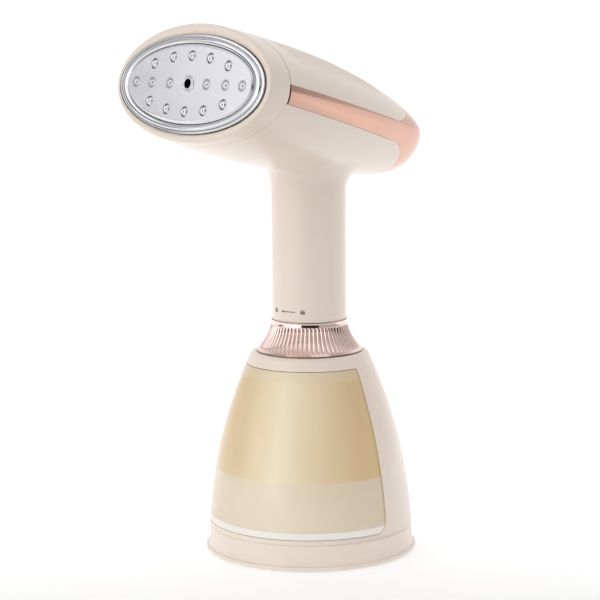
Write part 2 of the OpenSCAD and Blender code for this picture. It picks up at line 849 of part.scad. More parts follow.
// ---- electrics and button ----
board_y = 6.6;
board_t = 1.2;
flange_y = 12.2;
flange_t = 2;
switch_top = flange_y - button_travel - 0.1;

module circuit_board() {
    color(board_green) translate([-10, board_y, 146]) cube([20, board_t, 50]);
}

module microswitch() {
    low = board_y + board_t + 0.05;
    color(black) difference() {
        translate([-4, low, button_z - 4]) cube([8, switch_top - low, 8]);
        y_bar(1.5 + running, 0, button_z, low + 0.05, switch_top + 1);
    }
}

module switch_plunger() {
    color("firebrick") y_bar(1.5, 0, button_z, flange_y - button_travel - 0.2, flange_y - 0.05);
}

// Raised frame of the button, flush with the inside of the handle
module button_frame() {
    color(rose_gold) intersection() {
        difference() {
            slot_bar(frame_w - 0.2, button_l + 3, button_z, 10, handle_r + 5);
            slot_bar(button_w + 0.5, button_l + 0.5, button_z, 9, handle_r + 6);
        }
        turned_box(bore_r + 0.05, handle_r + 0.6, 140, 195);
    }
}

module steam_button() {
    color(cream) union() {
        slot_bar(button_w + 1.8, button_l + 1.8, button_z, flange_y, flange_y + flange_t);
        intersection() {
            slot_bar(button_w, button_l, button_z, flange_y + 1, handle_r + 5);
            cylinder_at(handle_r + 1.2, 140, 195);
        }
    }
}

module button_springs() {
    low = board_y + board_t + 0.05;
    color(steel) for (dz = [-10, 10]) translate([0, low, button_z + dz]) rotate([-90, 0, 0])
        coil_spring(2, 0.3, flange_y - 0.05 - low, 3);
}

module indicator_lens() {
    color([0.9, 0.5, 0.3, 0.7]) intersection() {
        y_bar(lens_r, 0, lens_z, 15, handle_r + 2);
        cylinder_at(handle_r + 0.3, 180, 200);
    }
}

module indicator_led() {
    color("white") y_bar(1.5, 0, lens_z, board_y + board_t + 0.05, 13);
}

cord_bore_r = 3.5;
module cord_gland() {
    color(black) difference() {
        union() {
            y_bar(gland_r, 0, gland_z, 12, handle_r);
            y_bar(gland_flange_r, 0, gland_z, handle_r - 1.4, handle_r + 1.6);
        }
        y_bar(cord_bore_r, 0, gland_z, 10, handle_r + 3);
    }
}

module terminal_block() {
    color(white_plastic) difference() {
        translate([-7, 1, cap_z + 3.3]) cube([14, 8, 7.5]);
        for (x = [-4, 0, 4]) y_bar(1.2, x, cap_z + 7, 4, 10);
    }
}

base_ring();
foot_pad();
tank_frame();
tank_floor();
water_tank();
neck_insert();
lock_ring();
lock_ring_core();
main_housing();
handle_neck();
handle_shell();
front_bezel();
top_cover();
trim_band();
lock_mark();
plate_rim();
steam_plate();
plate_seal();
centre_nozzle();
boiler_block();
boiler_gasket();
boiler_lid();
boiler_holder();
boiler_screws();
heating_element();
heater_terminals();
thermostat();
thermal_fuse();
inlet_elbow();
head_chassis();
chassis_screws();
end_cap();
spigot_seal();
dip_tube();
strainer();
suction_hose();
pressure_hose();
pump_body();
pump_coil();
pump_yoke();
pump_plunger();
pump_spring();
circuit_board();
microswitch();
switch_plunger();
button_frame();
steam_button();
button_springs();
indicator_lens();
indicator_led();
cord_gland();
terminal_block();
wires();
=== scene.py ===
"""Handheld garment steamer: the detailed visual model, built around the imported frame.

Shapes are worked out in millimetres and turned into metres when a mesh is made. The head's
skin uses the same formulas as the CAD part, so every visual piece lies where its CAD node lies.
"""

import json
import math

import bmesh
import bpy
import numpy as np
from mathutils import Matrix, Vector
from mathutils.geometry import delaunay_2d_cdt


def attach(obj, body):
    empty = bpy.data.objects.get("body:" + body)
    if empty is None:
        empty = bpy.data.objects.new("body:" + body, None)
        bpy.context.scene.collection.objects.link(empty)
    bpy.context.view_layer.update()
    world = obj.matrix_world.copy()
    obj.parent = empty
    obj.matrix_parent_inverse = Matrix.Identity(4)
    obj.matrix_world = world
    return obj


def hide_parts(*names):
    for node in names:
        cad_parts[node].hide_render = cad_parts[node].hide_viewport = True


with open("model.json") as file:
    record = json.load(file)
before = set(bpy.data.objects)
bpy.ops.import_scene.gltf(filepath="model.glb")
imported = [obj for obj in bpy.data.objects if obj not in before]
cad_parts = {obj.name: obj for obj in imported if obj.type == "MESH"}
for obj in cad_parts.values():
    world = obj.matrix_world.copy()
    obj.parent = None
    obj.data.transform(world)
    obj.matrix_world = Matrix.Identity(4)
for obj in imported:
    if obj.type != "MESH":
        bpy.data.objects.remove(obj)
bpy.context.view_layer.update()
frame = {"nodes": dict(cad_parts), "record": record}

MM = 0.001
TAU = 2 * math.pi

# ---- driving dimensions, in millimetres ----
TANK_R = 55.2
FOOT_R = 57.0
SHOULDER_H = 108.4
BASE_TOP = 13.7
WINDOW_LOW = 16.3
WINDOW_HIGH = 102.0
FLOOR_TOP = 20.3
WATER_LINE = 45.7
SHOULDER_TINT = 96.5        # above this height the tank's thick top is paler
WALL = 2.0
AXIS_R = 0.02               # a turned profile stops this far from its axis
SEAM = 0.1
WINDOW_TURN = math.radians(1.2)     # how far the window reaches past half way round, on each side
WINDOW_GAP = 0.28           # between the window and its frame
WINDOW_CORNER = 7.0         # radius of the window's lower corners
WINDOW_NOOK = 1.0           # radius of its upper corners
WINDOW_R = 53.0             # mean radius of the tank where the window's corners are
SKIN_TOP = 103.4            # the tank's curve ends here and the shoulder starts
CUP_OUTSIDE = 2.2           # how far the cup's wall lies inside the tank's curve
CUP_INSIDE = 4.2
NECK_R = 19.8
NECK_BORE = 17.6
NECK_TOP = 119.0

RING_LOW = SHOULDER_H + 0.1
RING_H = 17.2
RING_TOP = RING_LOW + RING_H
FLUTES = 60
FLUTE_DEPTH = 0.9

HANDLE_R = 20.0
HANDLE_LOW = 125.8
NECK_BLEND = 10.0

HEAD_L = 161.7
HEAD_TILT = math.radians(12.5)
HEAD_WALL = 2.2
FACE_Y = -84.3
FACE_Z = 254.2
FACE_HALF_W = 56.3
FACE_TOP = 31.4
FACE_LOW = 29.2
TAIL_HALF_W = 24.1
TAIL_TOP = 8.0
TAIL_LOW = 23.8
BELLY = 8.0
END_POWER = 17.8
END_ROUND = 2.6

RIB_COUNT = 21
RIB_PITCH = 3.75
RIB_START = 25.0
RIB_END = RIB_START + RIB_COUNT * RIB_PITCH
RIB_DEPTH = 0.7

COVER_FRONT = 14.6
STRIP_FRONT = 15.2
STRIP_TOP = 4.2
STRIP_LOW = -5.2
COVER_TAIL = (113.0, 25.3, 23.0)      # rear curve of the cover: centre s, centre v, radius
HOUSING_TAIL = (117.0, -29.5, 21.0)   # rear curve of the lower housing
SIDE_END = 113.0            # the trim's side strips end here and its tail starts
KEEL_R = 42.0               # mean radius of the head's underside

PLATE_HALF_W = 44.8
PLATE_HALF_H = 18.7
PLATE_FRONT = -2.1          # the plate stands out of the bezel
PLATE_EDGE = (45.9, 20.4)   # half width and height behind its chamfer
HOLE_PITCH = 13.5
ROW_HALF_H = 14.2
ROW_HALF_W = 36.9

BUTTON_Z = 168.0
BUTTON_W = 14.0
BUTTON_L = 34.0
LENS_Z = 190.5
GLAND_Z = 137.0


# ---- shape of the head: ellipses across an axis that leans nose up ----
def tail_close(u):
    return np.power(np.clip(1 - np.power(u, END_POWER), 0, 1), 1 / END_ROUND)


def half_width(u):
    return (FACE_HALF_W + (TAIL_HALF_W - FACE_HALF_W) * np.power(u, 1.81)) * tail_close(u)


def height_up(u):
    return (FACE_TOP + (TAIL_TOP - FACE_TOP) * np.power(u, 2.84)) * tail_close(u)


def depth_down(u):
    plain = FACE_LOW + (TAIL_LOW - FACE_LOW) * np.power(u, 2.06)
    return (plain + BELLY * np.sin(math.pi * u) * (1 - u)) * tail_close(u)


def skin(s, angle, inset=0.0):
    """Points on the head's skin in its own frame: across, back, up. angle is in radians."""
    u = np.clip(np.asarray(s, float) / HEAD_L, 0, 1)
    rise = np.sin(angle)
    height = np.where(rise > 0, height_up(u), depth_down(u))
    across = np.maximum(half_width(u) - inset, 0) * np.cos(angle)
    up = np.maximum(height - inset, 0) * rise
    return np.stack(np.broadcast_arrays(across, u * HEAD_L, up), -1)


def from_head(p):
    """Head frame to the object's own frame, both in millimetres."""
    p = np.asarray(p, float)
    y = FACE_Y + p[..., 1] * math.cos(HEAD_TILT) + p[..., 2] * math.sin(HEAD_TILT)
    z = FACE_Z - p[..., 1] * math.sin(HEAD_TILT) + p[..., 2] * math.cos(HEAD_TILT)
    return np.stack([p[..., 0], y, z], -1)


def circle(x, r):
    """Half height of a circle at x from its centre, and 0 outside it."""
    return np.sqrt(np.clip(r ** 2 - x ** 2, 0, None))


def strip_top(s, grow=0.0):
    """Height of the trim strip's upper edge, which runs into the cover's rear curve."""
    cs, cv, r = COVER_TAIL
    straight = STRIP_TOP + (cv - r - STRIP_TOP) * (s - COVER_FRONT) / (cs - COVER_FRONT)
    reach = circle(s - cs, r + grow)
    return np.where(s > cs, cv - reach, straight - grow)


def strip_low(s, grow=0.0):
    """Height of the trim strip's lower edge, which runs into the housing's rear curve."""
    cs, cv, r = HOUSING_TAIL
    straight = STRIP_LOW + (cv + r - STRIP_LOW) * (s + 2) / (cs + 2)
    reach = circle(s - cs, r + grow)
    return np.where(s > cs, cv + reach, straight + grow)


def bezel_seam(v):
    """Depth of the bezel's rear seam at height v."""
    return np.interp(v, [-40, -29, -5], [8.9, 9.0, COVER_FRONT - 0.4])


def solve(func, low, high, steps=50):
    """Where func, which is positive at low and falls, reaches zero; works on arrays."""
    low = np.array(low, float)
    high = np.array(high, float)
    for _ in range(steps):
        mid = (low + high) / 2
        above = func(mid) > 0
        low = np.where(above, mid, low)
        high = np.where(above, high, mid)
    return (low + high) / 2


def underside(x, y):
    """Head-frame depth and height of the skin point under a place (x, y) of the object's frame."""
    s = np.asarray(y, float) - FACE_Y
    for _ in range(12):
        u = s / HEAD_L
        v = -depth_down(u) * np.sqrt(np.clip(1 - (x / half_width(u)) ** 2, 0, 1))
        s = (y - FACE_Y - v * math.sin(HEAD_TILT)) / math.cos(HEAD_TILT)
    return s, v


def underside_z(x, y):
    s, v = underside(x, y)
    return FACE_Z - s * math.sin(HEAD_TILT) + v * math.cos(HEAD_TILT)


def tank_radius(z):
    return TANK_R * (1 - 0.431 * np.power(np.asarray(z, float) / 108, 2.1))


def ring_radius(z):
    return HANDLE_R + 0.4 + 8.4 * np.power(np.clip((RING_TOP - z) / RING_H, 0, 1), 1.9)


# ---- mesh helpers ----
def grid_faces(rows, cols, start=0, wrap_rows=False, wrap_cols=False):
    i = np.arange(rows if wrap_rows else rows - 1)
    j = np.arange(cols if wrap_cols else cols - 1)
    i, j = np.meshgrid(i, j, indexing="ij")
    n, m = (i + 1) % rows, (j + 1) % cols
    quads = np.stack([i * cols + j, i * cols + m, n * cols + m, n * cols + j], -1)
    return (quads.reshape(-1, 4) + start).tolist()


def to_object(name, bm):
    """Turns a finished bmesh into an object of the scene."""
    mesh = bpy.data.meshes.new(name)
    bm.to_mesh(mesh)
    bm.free()
    piece = bpy.data.objects.new(name, mesh)
    bpy.context.scene.collection.objects.link(piece)
    return piece


def mesh_object(name, grids, wrap_rows=False, wrap_cols=False):
    """One object from grids of points in millimetres, welded where they meet."""
    verts, faces = [], []
    for g in grids:
        rows, cols = g.shape[:2]
        faces += grid_faces(rows, cols, len(verts), wrap_rows, wrap_cols)
        verts += (g.reshape(-1, 3) * MM).tolist()
    bm = bmesh.new()
    made = [bm.verts.new(v) for v in verts]
    for f in faces:
        corners = [made[k] for k in f]
        try:
            bm.faces.new(corners)
        except ValueError:
            pass
    bmesh.ops.remove_doubles(bm, verts=bm.verts, dist=2e-6)
    bmesh.ops.dissolve_degenerate(bm, dist=1e-7, edges=bm.edges)
    for f in bm.faces:
        f.smooth = True
    return to_object(name, bm)


def full_turn(count):
    """Evenly spaced angles once round."""
    return TAU * np.arange(count) / count


def about_z(angle, r, z):
    """Points at an angle and a radius about Z, at height z."""
    return np.stack(np.broadcast_arrays(r * np.cos(angle), r * np.sin(angle), z), -1)


def lathe(profile, turns=192):
    """Grid of an (r, z) profile turned about Z; rows follow the turn."""
    r, z = np.asarray(profile, float).T
    return about_z(full_turn(turns)[:, None], r, z)


def rounded(points, radii, steps=5):
    """Closed outline with each corner rounded by its own radius."""
    points = [np.array(p, float) for p in points]
    out = []
    for k, p in enumerate(points):
        a, b = points[k - 1] - p, points[(k + 1) % len(points)] - p
        la, lb = np.linalg.norm(a), np.linalg.norm(b)
        cut = min(radii[k], 0.49 * la, 0.49 * lb)
        if cut < 1e-4:
            out.append(p)
            continue
        p0, p1 = p + a / la * cut, p + b / lb * cut
        for i in range(steps + 1):
            t = i / steps
            out.append((1 - t) ** 2 * p0 + 2 * (1 - t) * t * p + t * t * p1)
    return np.array(out)


def closed(piece):
    """Turns a mesh's faces all the same way, outwards where it is closed."""
    bm = bmesh.new()
    bm.from_mesh(piece.data)
    bmesh.ops.recalc_face_normals(bm, faces=bm.faces)
    bm.to_mesh(piece.data)
    bm.free()
    return piece


def solid(name, grid, wrap_rows=False, wrap_cols=False):
    """A closed object from one grid."""
    return closed(mesh_object(name, [grid], wrap_rows, wrap_cols))


def thicken(piece, wall, bevel):
    """Gives an open skin its wall, inwards, and breaks the rim's sharp edges."""
    shell = piece.modifiers.new("wall", "SOLIDIFY")
    shell.thickness = wall * MM
    shell.offset = -1
    shell.use_even_offset = False
    if bevel:
        soften(piece, bevel)


def soften(piece, width, angle=35):
    """Rounds the edges that are sharper than an angle in degrees."""
    bev = piece.modifiers.new("edge", "BEVEL")
    bev.width = width * MM
    bev.segments = 2
    bev.limit_method = "ANGLE"
    bev.angle_limit = math.radians(angle)
    bev.harden_normals = True
    bev.use_clamp_overlap = True


def carve(piece, cutters):
    """Takes the cutters out of a piece for good, and deletes them."""
    for cutter in cutters:
        cut = piece.modifiers.new("cut", "BOOLEAN")
        cut.operation = "DIFFERENCE"
        cut.solver = "EXACT"
        cut.object = cutter
    apply_modifiers(piece)
    for cutter in cutters:
        bpy.data.objects.remove(cutter)


def apply_modifiers(piece):
    graph = bpy.context.evaluated_depsgraph_get()
    mesh = bpy.data.meshes.new_from_object(piece.evaluated_get(graph))
    piece.modifiers.clear()
    piece.data = mesh


# ---- materials: a Principled shader and the textures that feed it ----
def srgb(r, g, b):
    """Linear colour of an 8-bit display colour."""
    return tuple(((c / 255 + 0.055) / 1.055) ** 2.4 for c in (r, g, b)) + (1.0,)


def shade(colour, factor):
    return tuple(min(c * factor, 1.0) for c in colour[:3]) + (1.0,)


class Graph:
    """Makes the nodes of a material or a world. An input is a constant or another node's output."""

    def __init__(self, tree):
        self.nodes = tree.nodes
        self.links = tree.links

    def put(self, socket, value):
        if isinstance(value, bpy.types.NodeSocket):
            self.links.new(value, socket)
        else:
            socket.default_value = value

    def node(self, kind, inputs, out=0, **settings):
        made = self.nodes.new("ShaderNode" + kind)
        for name, value in settings.items():
            setattr(made, name, value)
        for name, value in inputs.items():
            self.put(made.inputs[name], value)
        return made.outputs[out]

    def math(self, kind, a, b):
        return self.node("Math", {0: a, 1: b}, operation=kind)

    def dot(self, a, b):
        return self.node("VectorMath", {0: a, 1: b}, "Value", operation="DOT_PRODUCT")

    def remap(self, value, low, high, start=0.3, end=0.7, **settings):
        """A value that runs from start to end, turned into one from low to high."""
        return self.node("MapRange", {"Value": value, "From Min": start, "From Max": end,
                                      "To Min": low, "To Max": high}, **settings)


class Finish(Graph):
    """A procedural material. Textures use the object's own coordinates, in metres."""

    def __init__(self, name, constants):
        self.material = bpy.data.materials.new(name)
        self.material.use_nodes = True
        super().__init__(self.material.node_tree)
        self.shader = next(n for n in self.nodes if n.type == "BSDF_PRINCIPLED")
        for socket, value in constants.items():
            self.feed(socket, value)
        self.place = self.node("TexCoord", {}, "Object")
        self.last_bump = None

    def feed(self, socket, value):
        self.put(self.shader.inputs[socket], value)

    def noise(self, scale, detail=3.0, stretch=(1, 1, 1), roughness=0.55, seed=0.0):
        shift = (seed, seed * 0.7, seed * 0.3)
        spot = self.node("Mapping", {"Vector": self.place, "Scale": stretch, "Location": shift})
        return self.node("TexNoise", {"Vector": spot, "Scale": scale, "Detail": detail,
                                      "Roughness": roughness}, "Fac")

    def mix(self, factor, a, b):
        """Colour between a and b."""
        return self.node("Mix", {"Factor": factor, 6: a, 7: b}, 2, data_type="RGBA")

    def bump(self, height, strength, distance_mm):
        inputs = {"Height": height, "Strength": strength, "Distance": distance_mm * MM}
        if self.last_bump:
            inputs["Normal"] = self.last_bump
        self.last_bump = self.node("Bump", inputs)
        self.feed("Normal", self.last_bump)

    def pointiness(self, low, high, start, end):
        return self.remap(self.node("NewGeometry", {}, "Pointiness"), low, high, start, end)

    def edges(self):
        """1 on convex edges, fading to 0 on flat areas."""
        return self.pointiness(0.0, 1.0, 0.53, 0.6)

    def grooves(self):
        """1 in grooves, fading to 0 on flat areas."""
        return self.pointiness(1.0, 0.0, 0.43, 0.49)

    def axis(self, letter):
        return self.node("SeparateXYZ", {0: self.place}, letter)


def plastic(name, colour, roughness, coat, mottle, texture, grain=900.0, clear=0.0):
    """Moulded plastic: faint flow mottling, handling marks in the gloss and a fine skin texture."""
    f = Finish(name, {"Coat Weight": coat, "Coat Roughness": 0.08, "IOR": 1.5,
                      "Transmission Weight": clear})
    cloud = f.remap(f.noise(26.0, 3.0), 0.0, 1.0)
    f.feed("Base Color", f.mix(cloud, shade(colour, 1 - mottle), shade(colour, 1 + mottle)))
    wiped = f.noise(70.0, 6.0, (1.0, 1.0, 2.5), 0.7, seed=3.1)
    f.feed("Roughness", f.remap(wiped, roughness * 0.94, roughness * 1.06))
    f.bump(f.noise(grain, 2.0), texture, 0.05)
    return f.material


def metal(name, colour, roughness, grain=(1, 1, 1), grain_scale=600.0, scratch=0.04, vary=0.03,
          tarnish=None):
    """Bare or plated metal: smudges in the gloss, hairlines along the grain, paler worn edges.

    A painted shade colour darkens the grooves, where shade falls."""
    f = Finish(name, {"Metallic": 1.0, "IOR": 1.8})
    smudge = f.noise(45.0, 5.0, roughness=0.65)
    hair = f.noise(grain_scale, 3.0, grain, seed=1.7)
    tone = f.mix(f.remap(smudge, 0.0, 1.0), shade(colour, 1 - vary), shade(colour, 1 + vary))
    worn = f.math("MULTIPLY", f.edges(), 0.25)
    tone = f.mix(worn, tone, shade(colour, 1.25))
    # painted shade: the grooves take a darker colour
    if tarnish:
        tone = f.mix(f.grooves(), tone, tarnish)
    f.feed("Base Color", tone)
    rough = f.remap(smudge, roughness * 0.85, roughness * 1.25)
    f.feed("Roughness", f.math("ADD", rough, f.remap(hair, -0.02, 0.04)))
    f.bump(hair, scratch, 0.03)
    return f.material


def rubber(name, colour, roughness=0.6, grain=1400.0):
    """Moulded rubber: matt, with a fine sparkle of texture and dusty patches."""
    f = Finish(name, {"Specular IOR Level": 0.4, "IOR": 1.5})
    dust = f.noise(60.0, 6.0, roughness=0.7)
    f.feed("Base Color", f.mix(f.remap(dust, 0.0, 0.35, 0.45, 0.8), colour, shade(colour, 1.9)))
    f.feed("Roughness", f.remap(dust, roughness * 0.9, min(roughness * 1.2, 1.0)))
    f.bump(f.noise(grain, 2.0), 0.12, 0.06)
    return f.material


def frosted_tank(name):
    """Satin see-through amber, milkier below the water line, with painted light and shade: paler down its
    middle, round an azimuth near the camera's, where light shows through, and deeper amber at its sides; and
    a painted glow of vivid amber along the window's side edges.
    """
    f = Finish(name, {"IOR": 1.45, "Coat Weight": 0.35, "Coat Roughness": 0.1,
                      "Transmission Weight": 0.12, "Subsurface Weight": 0.3, "Subsurface Scale": 0.003})
    f.feed("Subsurface Radius", (1.0, 0.7, 0.4))
    round_it = f.math("ARCTAN2", f.axis("Y"), f.axis("X"))
    # painted light and shade: paler round -62 degrees about Z, where light shows through, turning deeper
    # amber from 0.1 to 0.85 rad away from it
    painted_side_shade = f.remap(f.math("ABSOLUTE", f.math("ADD", round_it, 1.08), 0.0), 0.0, 1.0, 0.1, 0.85)
    z = f.axis("Z")
    wet = f.remap(z, 1.0, 0.0, (WATER_LINE - 0.6) * MM, (WATER_LINE + 0.6) * MM)
    upper = f.remap(z, 0.0, 0.4, (SHOULDER_TINT - 0.8) * MM, (SHOULDER_TINT + 0.8) * MM)
    cloud = f.remap(f.noise(24.0, 2.0), 0.0, 1.0)
    dry = f.mix(painted_side_shade, f.mix(cloud, srgb(245, 228, 195), srgb(248, 231, 200)), srgb(225, 196, 152))
    dry = f.mix(upper, dry, srgb(232, 216, 192))
    milky = f.mix(painted_side_shade, srgb(243, 227, 203), f.mix(cloud, srgb(228, 211, 186), srgb(232, 216, 193)))
    # painted glow: past Y = -1 mm, the window's side edges and the rear of the cup turn vivid deep amber
    side = f.remap(f.axis("Y"), 0.0, 0.8, -1.0 * MM, 0.8 * MM)
    f.feed("Base Color", f.mix(side, f.mix(wet, dry, milky), srgb(206, 164, 98)))
    f.feed("Roughness", f.remap(f.noise(55.0, 5.0, seed=2.0), 0.3, 0.36))
    f.bump(f.noise(1500.0, 2.0), 0.03, 0.04)
    return f.material


def winding(name):
    """Enamelled copper wire wound round the pump."""
    f = Finish(name, {"Metallic": 0.9, "Coat Weight": 0.5, "Coat Roughness": 0.15})
    turns = f.node("TexWave", {"Vector": f.place, "Scale": 420.0, "Distortion": 0.4}, "Fac",
                   bands_direction="Z")
    f.feed("Base Color", f.mix(turns, srgb(96, 42, 22), srgb(196, 116, 70)))
    f.feed("Roughness", f.remap(turns, 0.42, 0.22, 0.0, 1.0))
    f.bump(turns, 0.6, 0.2)
    return f.material


def circuit(name):
    """Green board with tracks under the solder mask."""
    f = Finish(name, {"Coat Weight": 0.3, "Coat Roughness": 0.2})
    tracks = {"Vector": f.place, "Scale": 300.0, "Mortar Size": 0.06, "Color1": srgb(16, 72, 42),
              "Color2": srgb(20, 84, 48), "Mortar": srgb(48, 120, 70)}
    f.feed("Base Color", f.node("TexBrick", tracks, "Color"))
    f.feed("Roughness", f.remap(f.noise(400.0, 3.0), 0.35, 0.5))
    f.bump(f.node("TexBrick", tracks, "Fac"), 0.3, 0.05)
    return f.material


looks = {}


def look(kind, name, *values, **named):
    looks[name] = kind(name, *values, **named)


look(plastic, "cream", srgb(229, 215, 202), 0.3, 0.3, 0.006, 0.012, 700.0)
look(plastic, "pale_plastic", srgb(236, 229, 221), 0.4, 0.05, 0.03, 0.06)
look(frosted_tank, "tank_amber")
look(metal, "rose_gold", srgb(207, 165, 149), 0.15, scratch=0.02)
# the dark brown colour is painted shade in the flutes' grooves
look(metal, "rose_mirror", srgb(238, 211, 203), 0.06, scratch=0.01, tarnish=srgb(96, 66, 58))
look(metal, "chrome_rim", srgb(214, 214, 217), 0.08, scratch=0.01)
# the last colour, dark grey, is painted shade in the grooves round the steam points
look(metal, "satin_steel", srgb(226, 225, 228), 0.25, (0.25, 1, 1), 3800.0, 0.16, 0.01, srgb(58, 56, 58))
look(metal, "cast_aluminium", srgb(176, 177, 180), 0.45, grain_scale=260.0, scratch=0.35)
look(metal, "plated_steel", srgb(188, 190, 194), 0.24, (1, 1, 0.1), 1500.0, 0.08)
look(rubber, "silicone", srgb(206, 202, 192), 0.45)
look(rubber, "black_rubber", srgb(30, 30, 32), 0.62)
look(plastic, "black_plastic", srgb(36, 36, 39), 0.4, 0.1, 0.15, 0.12)
look(winding, "copper_coil")
look(metal, "brass_blade", srgb(196, 158, 84), 0.28, (1, 1, 0.1))
look(circuit, "board")
look(rubber, "wire_jacket", srgb(150, 62, 40), 0.4)
look(plastic, "print_grey", srgb(120, 112, 106), 0.5, 0.0, 0.06, 0.05)
look(plastic, "lens", srgb(214, 118, 64), 0.18, 0.5, 0.04, 0.02, clear=0.3)
look(plastic, "red_plastic", srgb(150, 38, 34), 0.35, 0.2, 0.06, 0.06)


def add(piece, body, slot, *nodes):
    """Material, finish slot, body and the CAD nodes that the piece stands for."""
    piece.data.materials.clear()
    piece.data.materials.append(looks[slot])
    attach(piece, body)
    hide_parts(*nodes)


# ---- tank ----
def tank_skin(angle, z, inset=0.0):
    return about_z(angle, tank_radius(z) - inset, z)


def tank_line(inset, heights):
    """Profile points (r, z) along the tank's curve, at a distance inside it."""
    return [(tank_radius(z) - inset, z) for z in heights]


def make_base():
    """The foot: a flange, a flare into the tank's curve and a floor."""
    skirt = tank_radius(BASE_TOP)
    lip, under, floor_low, floor_high = FOOT_R - 0.7, FOOT_R - 6, 2.0, 5.0
    outside = rounded([(under, 0.6), (FOOT_R, 0.6), (FOOT_R, 2.4), (lip, 2.6)], [0.2, 0.6, 0.5, 0])
    flare = [(lip - (lip - TANK_R + 0.05) * math.sin(a), 5.8 - 3.2 * math.cos(a))
             for a in np.linspace(0.1, math.pi / 2, 10)]
    wall = flare + tank_line(0, np.linspace(6.4, BASE_TOP - 0.2, 8))
    top = [(skirt - 0.06, BASE_TOP - 0.05), (skirt - 0.2, BASE_TOP), (skirt - WALL, BASE_TOP)]
    inside = [(TANK_R - WALL - 0.4, floor_high), (AXIS_R, floor_high), (AXIS_R, floor_low),
              (under, floor_low)]
    profile = np.vstack([outside, wall, top, inside])
    add(mesh_object("base_ring_skin", [lathe(profile, 256)], True, True), "tank", "cream", "base_ring")


def corner_rise(edge, radius):
    """How far a rounded corner lifts an edge, at a distance from the side; 0 past the corner."""
    return radius - circle(np.clip(radius - edge, 0, radius), radius)


OUTLINE_SCALE = (50.0, 1.0)      # millimetres for each unit of angle and of height


def window_outline(side_count=56, span_count=120):
    """The window's four sides as angle and height, from one lower corner round."""
    def arc(side, z, radius, start, count=9):
        spread = radius / tank_radius(z)
        t = np.radians(np.linspace(start, start + 45, count))
        mid = (WINDOW_TURN if side > 0 else -math.pi - WINDOW_TURN) - side * spread
        return [(mid + spread * math.cos(a), z + radius * math.sin(a)) for a in t]

    low, high = WINDOW_LOW + WINDOW_CORNER, WINDOW_HIGH - WINDOW_NOOK
    bottom = arc(-1, low, WINDOW_CORNER, 225) + arc(1, low, WINDOW_CORNER, 270)
    right = arc(1, low, WINDOW_CORNER, 315) + arc(1, high, WINDOW_NOOK, 0)
    top = arc(1, high, WINDOW_NOOK, 45) + arc(-1, high, WINDOW_NOOK, 90)
    left = arc(-1, high, WINDOW_NOOK, 135) + arc(-1, low, WINDOW_CORNER, 180)
    out = []
    for points, count in ((bottom, span_count), (right, side_count), (top, span_count), (left, side_count)):
        out.append(resample(points, count, OUTLINE_SCALE))
    return out


def resample(points, count, weight):
    """Evenly spaced points along an open line, with both ends kept."""
    points = np.asarray(points, float)
    step = np.linalg.norm(np.diff(points, axis=0) * weight, axis=1)
    along = np.concatenate([[0], np.cumsum(step)])
    want = np.linspace(0, along[-1], count + 1)
    return np.stack([np.interp(want, along, points[:, k]) for k in range(points.shape[1])], -1)


def make_tank_frame():
    """The cream cover round the window, with its shoulder and the hole for the neck."""
    inner = window_outline()
    back, low = math.pi / 2, BASE_TOP + 0.1
    corners = [(back - TAU, low), (back, low), (back, SKIN_TOP), (back - TAU, SKIN_TOP), (back - TAU, low)]
    outer = [resample([corners[k], corners[k + 1]], len(side) - 1, OUTLINE_SCALE)
             for k, side in enumerate(inner)]
    inner_loop = np.concatenate([side[:-1] for side in inner])
    outer_loop = np.concatenate([side[:-1] for side in outer])
    t = np.linspace(0, 1, 27)[:, None, None]
    field = inner_loop + (outer_loop - inner_loop) * t
    skin_grid = tank_skin(field[..., 0], field[..., 1])
    high, hole_r = SHOULDER_H - 0.1, HANDLE_R - 0.12
    shoulder = rounded([(tank_radius(SKIN_TOP), SKIN_TOP), (tank_radius(SHOULDER_H) + 0.1, high),
                        (hole_r, high)], [0, 2.4, 0], 10)
    flat = [(r, high) for r in np.linspace(27, hole_r, 5)]
    r, z = np.vstack([shoulder[:-1], flat]).T
    ring = about_z(outer[2][:, :1], r, z)
    cover = mesh_object("tank_frame_skin", [np.concatenate([skin_grid, skin_grid[:, :1]], 1), ring])
    face_out(closed(cover), 60)
    thicken(cover, WALL, 0.2)
    add(cover, "tank", "cream", "tank_frame")


def face_out(piece, z):
    """Turns an open skin's faces away from the point at height z on the Z axis."""
    inside = Vector((0, 0, z * MM))
    total = sum((f.normal.dot(f.center - inside)) * f.area for f in piece.data.polygons)
    if total < 0:
        piece.data.flip_normals()


def window_angles(first):
    """Angles across the window, closer together in its corners, and their distances to its side."""
    half, corner_end = (math.pi / 2 + WINDOW_TURN) * WINDOW_R, WINDOW_CORNER + 1
    near = first + (corner_end - first) * np.linspace(0, 1, 14) ** 1.5
    across = np.concatenate([near, np.linspace(corner_end, half, 55)[1:]])
    right = WINDOW_TURN - across / WINDOW_R
    left = -math.pi - WINDOW_TURN + across / WINDOW_R
    return np.concatenate([right, left[-2::-1]]), np.concatenate([across, across[-2::-1]])


def panel(name, low, high, first):
    """A curved panel in the window, between two heights; first is the distance to the window's side."""
    angle, edge = window_angles(first)
    foot = WINDOW_LOW + WINDOW_GAP + corner_rise(edge - WINDOW_GAP, WINDOW_CORNER - WINDOW_GAP)
    head = WINDOW_HIGH - WINDOW_GAP - corner_rise(edge - WINDOW_GAP, WINDOW_NOOK)
    z0 = np.maximum(low, foot)[:, None]
    z1 = np.minimum(high, head)[:, None]
    t = np.linspace(0, 1, 40 if high - low > 10 else 6)
    piece = mesh_object(name, [tank_skin(angle[:, None], z0 + (z1 - z0) * t, 0.05)])
    face_out(piece, 50)
    thicken(piece, 2.1, 0.2)
    return piece


def join(name, pieces):
    """One object from several pieces, with their modifiers applied."""
    bm = bmesh.new()
    for piece in pieces:
        apply_modifiers(piece)
        bm.from_mesh(piece.data)
        bpy.data.objects.remove(piece)
    return to_object(name, bm)


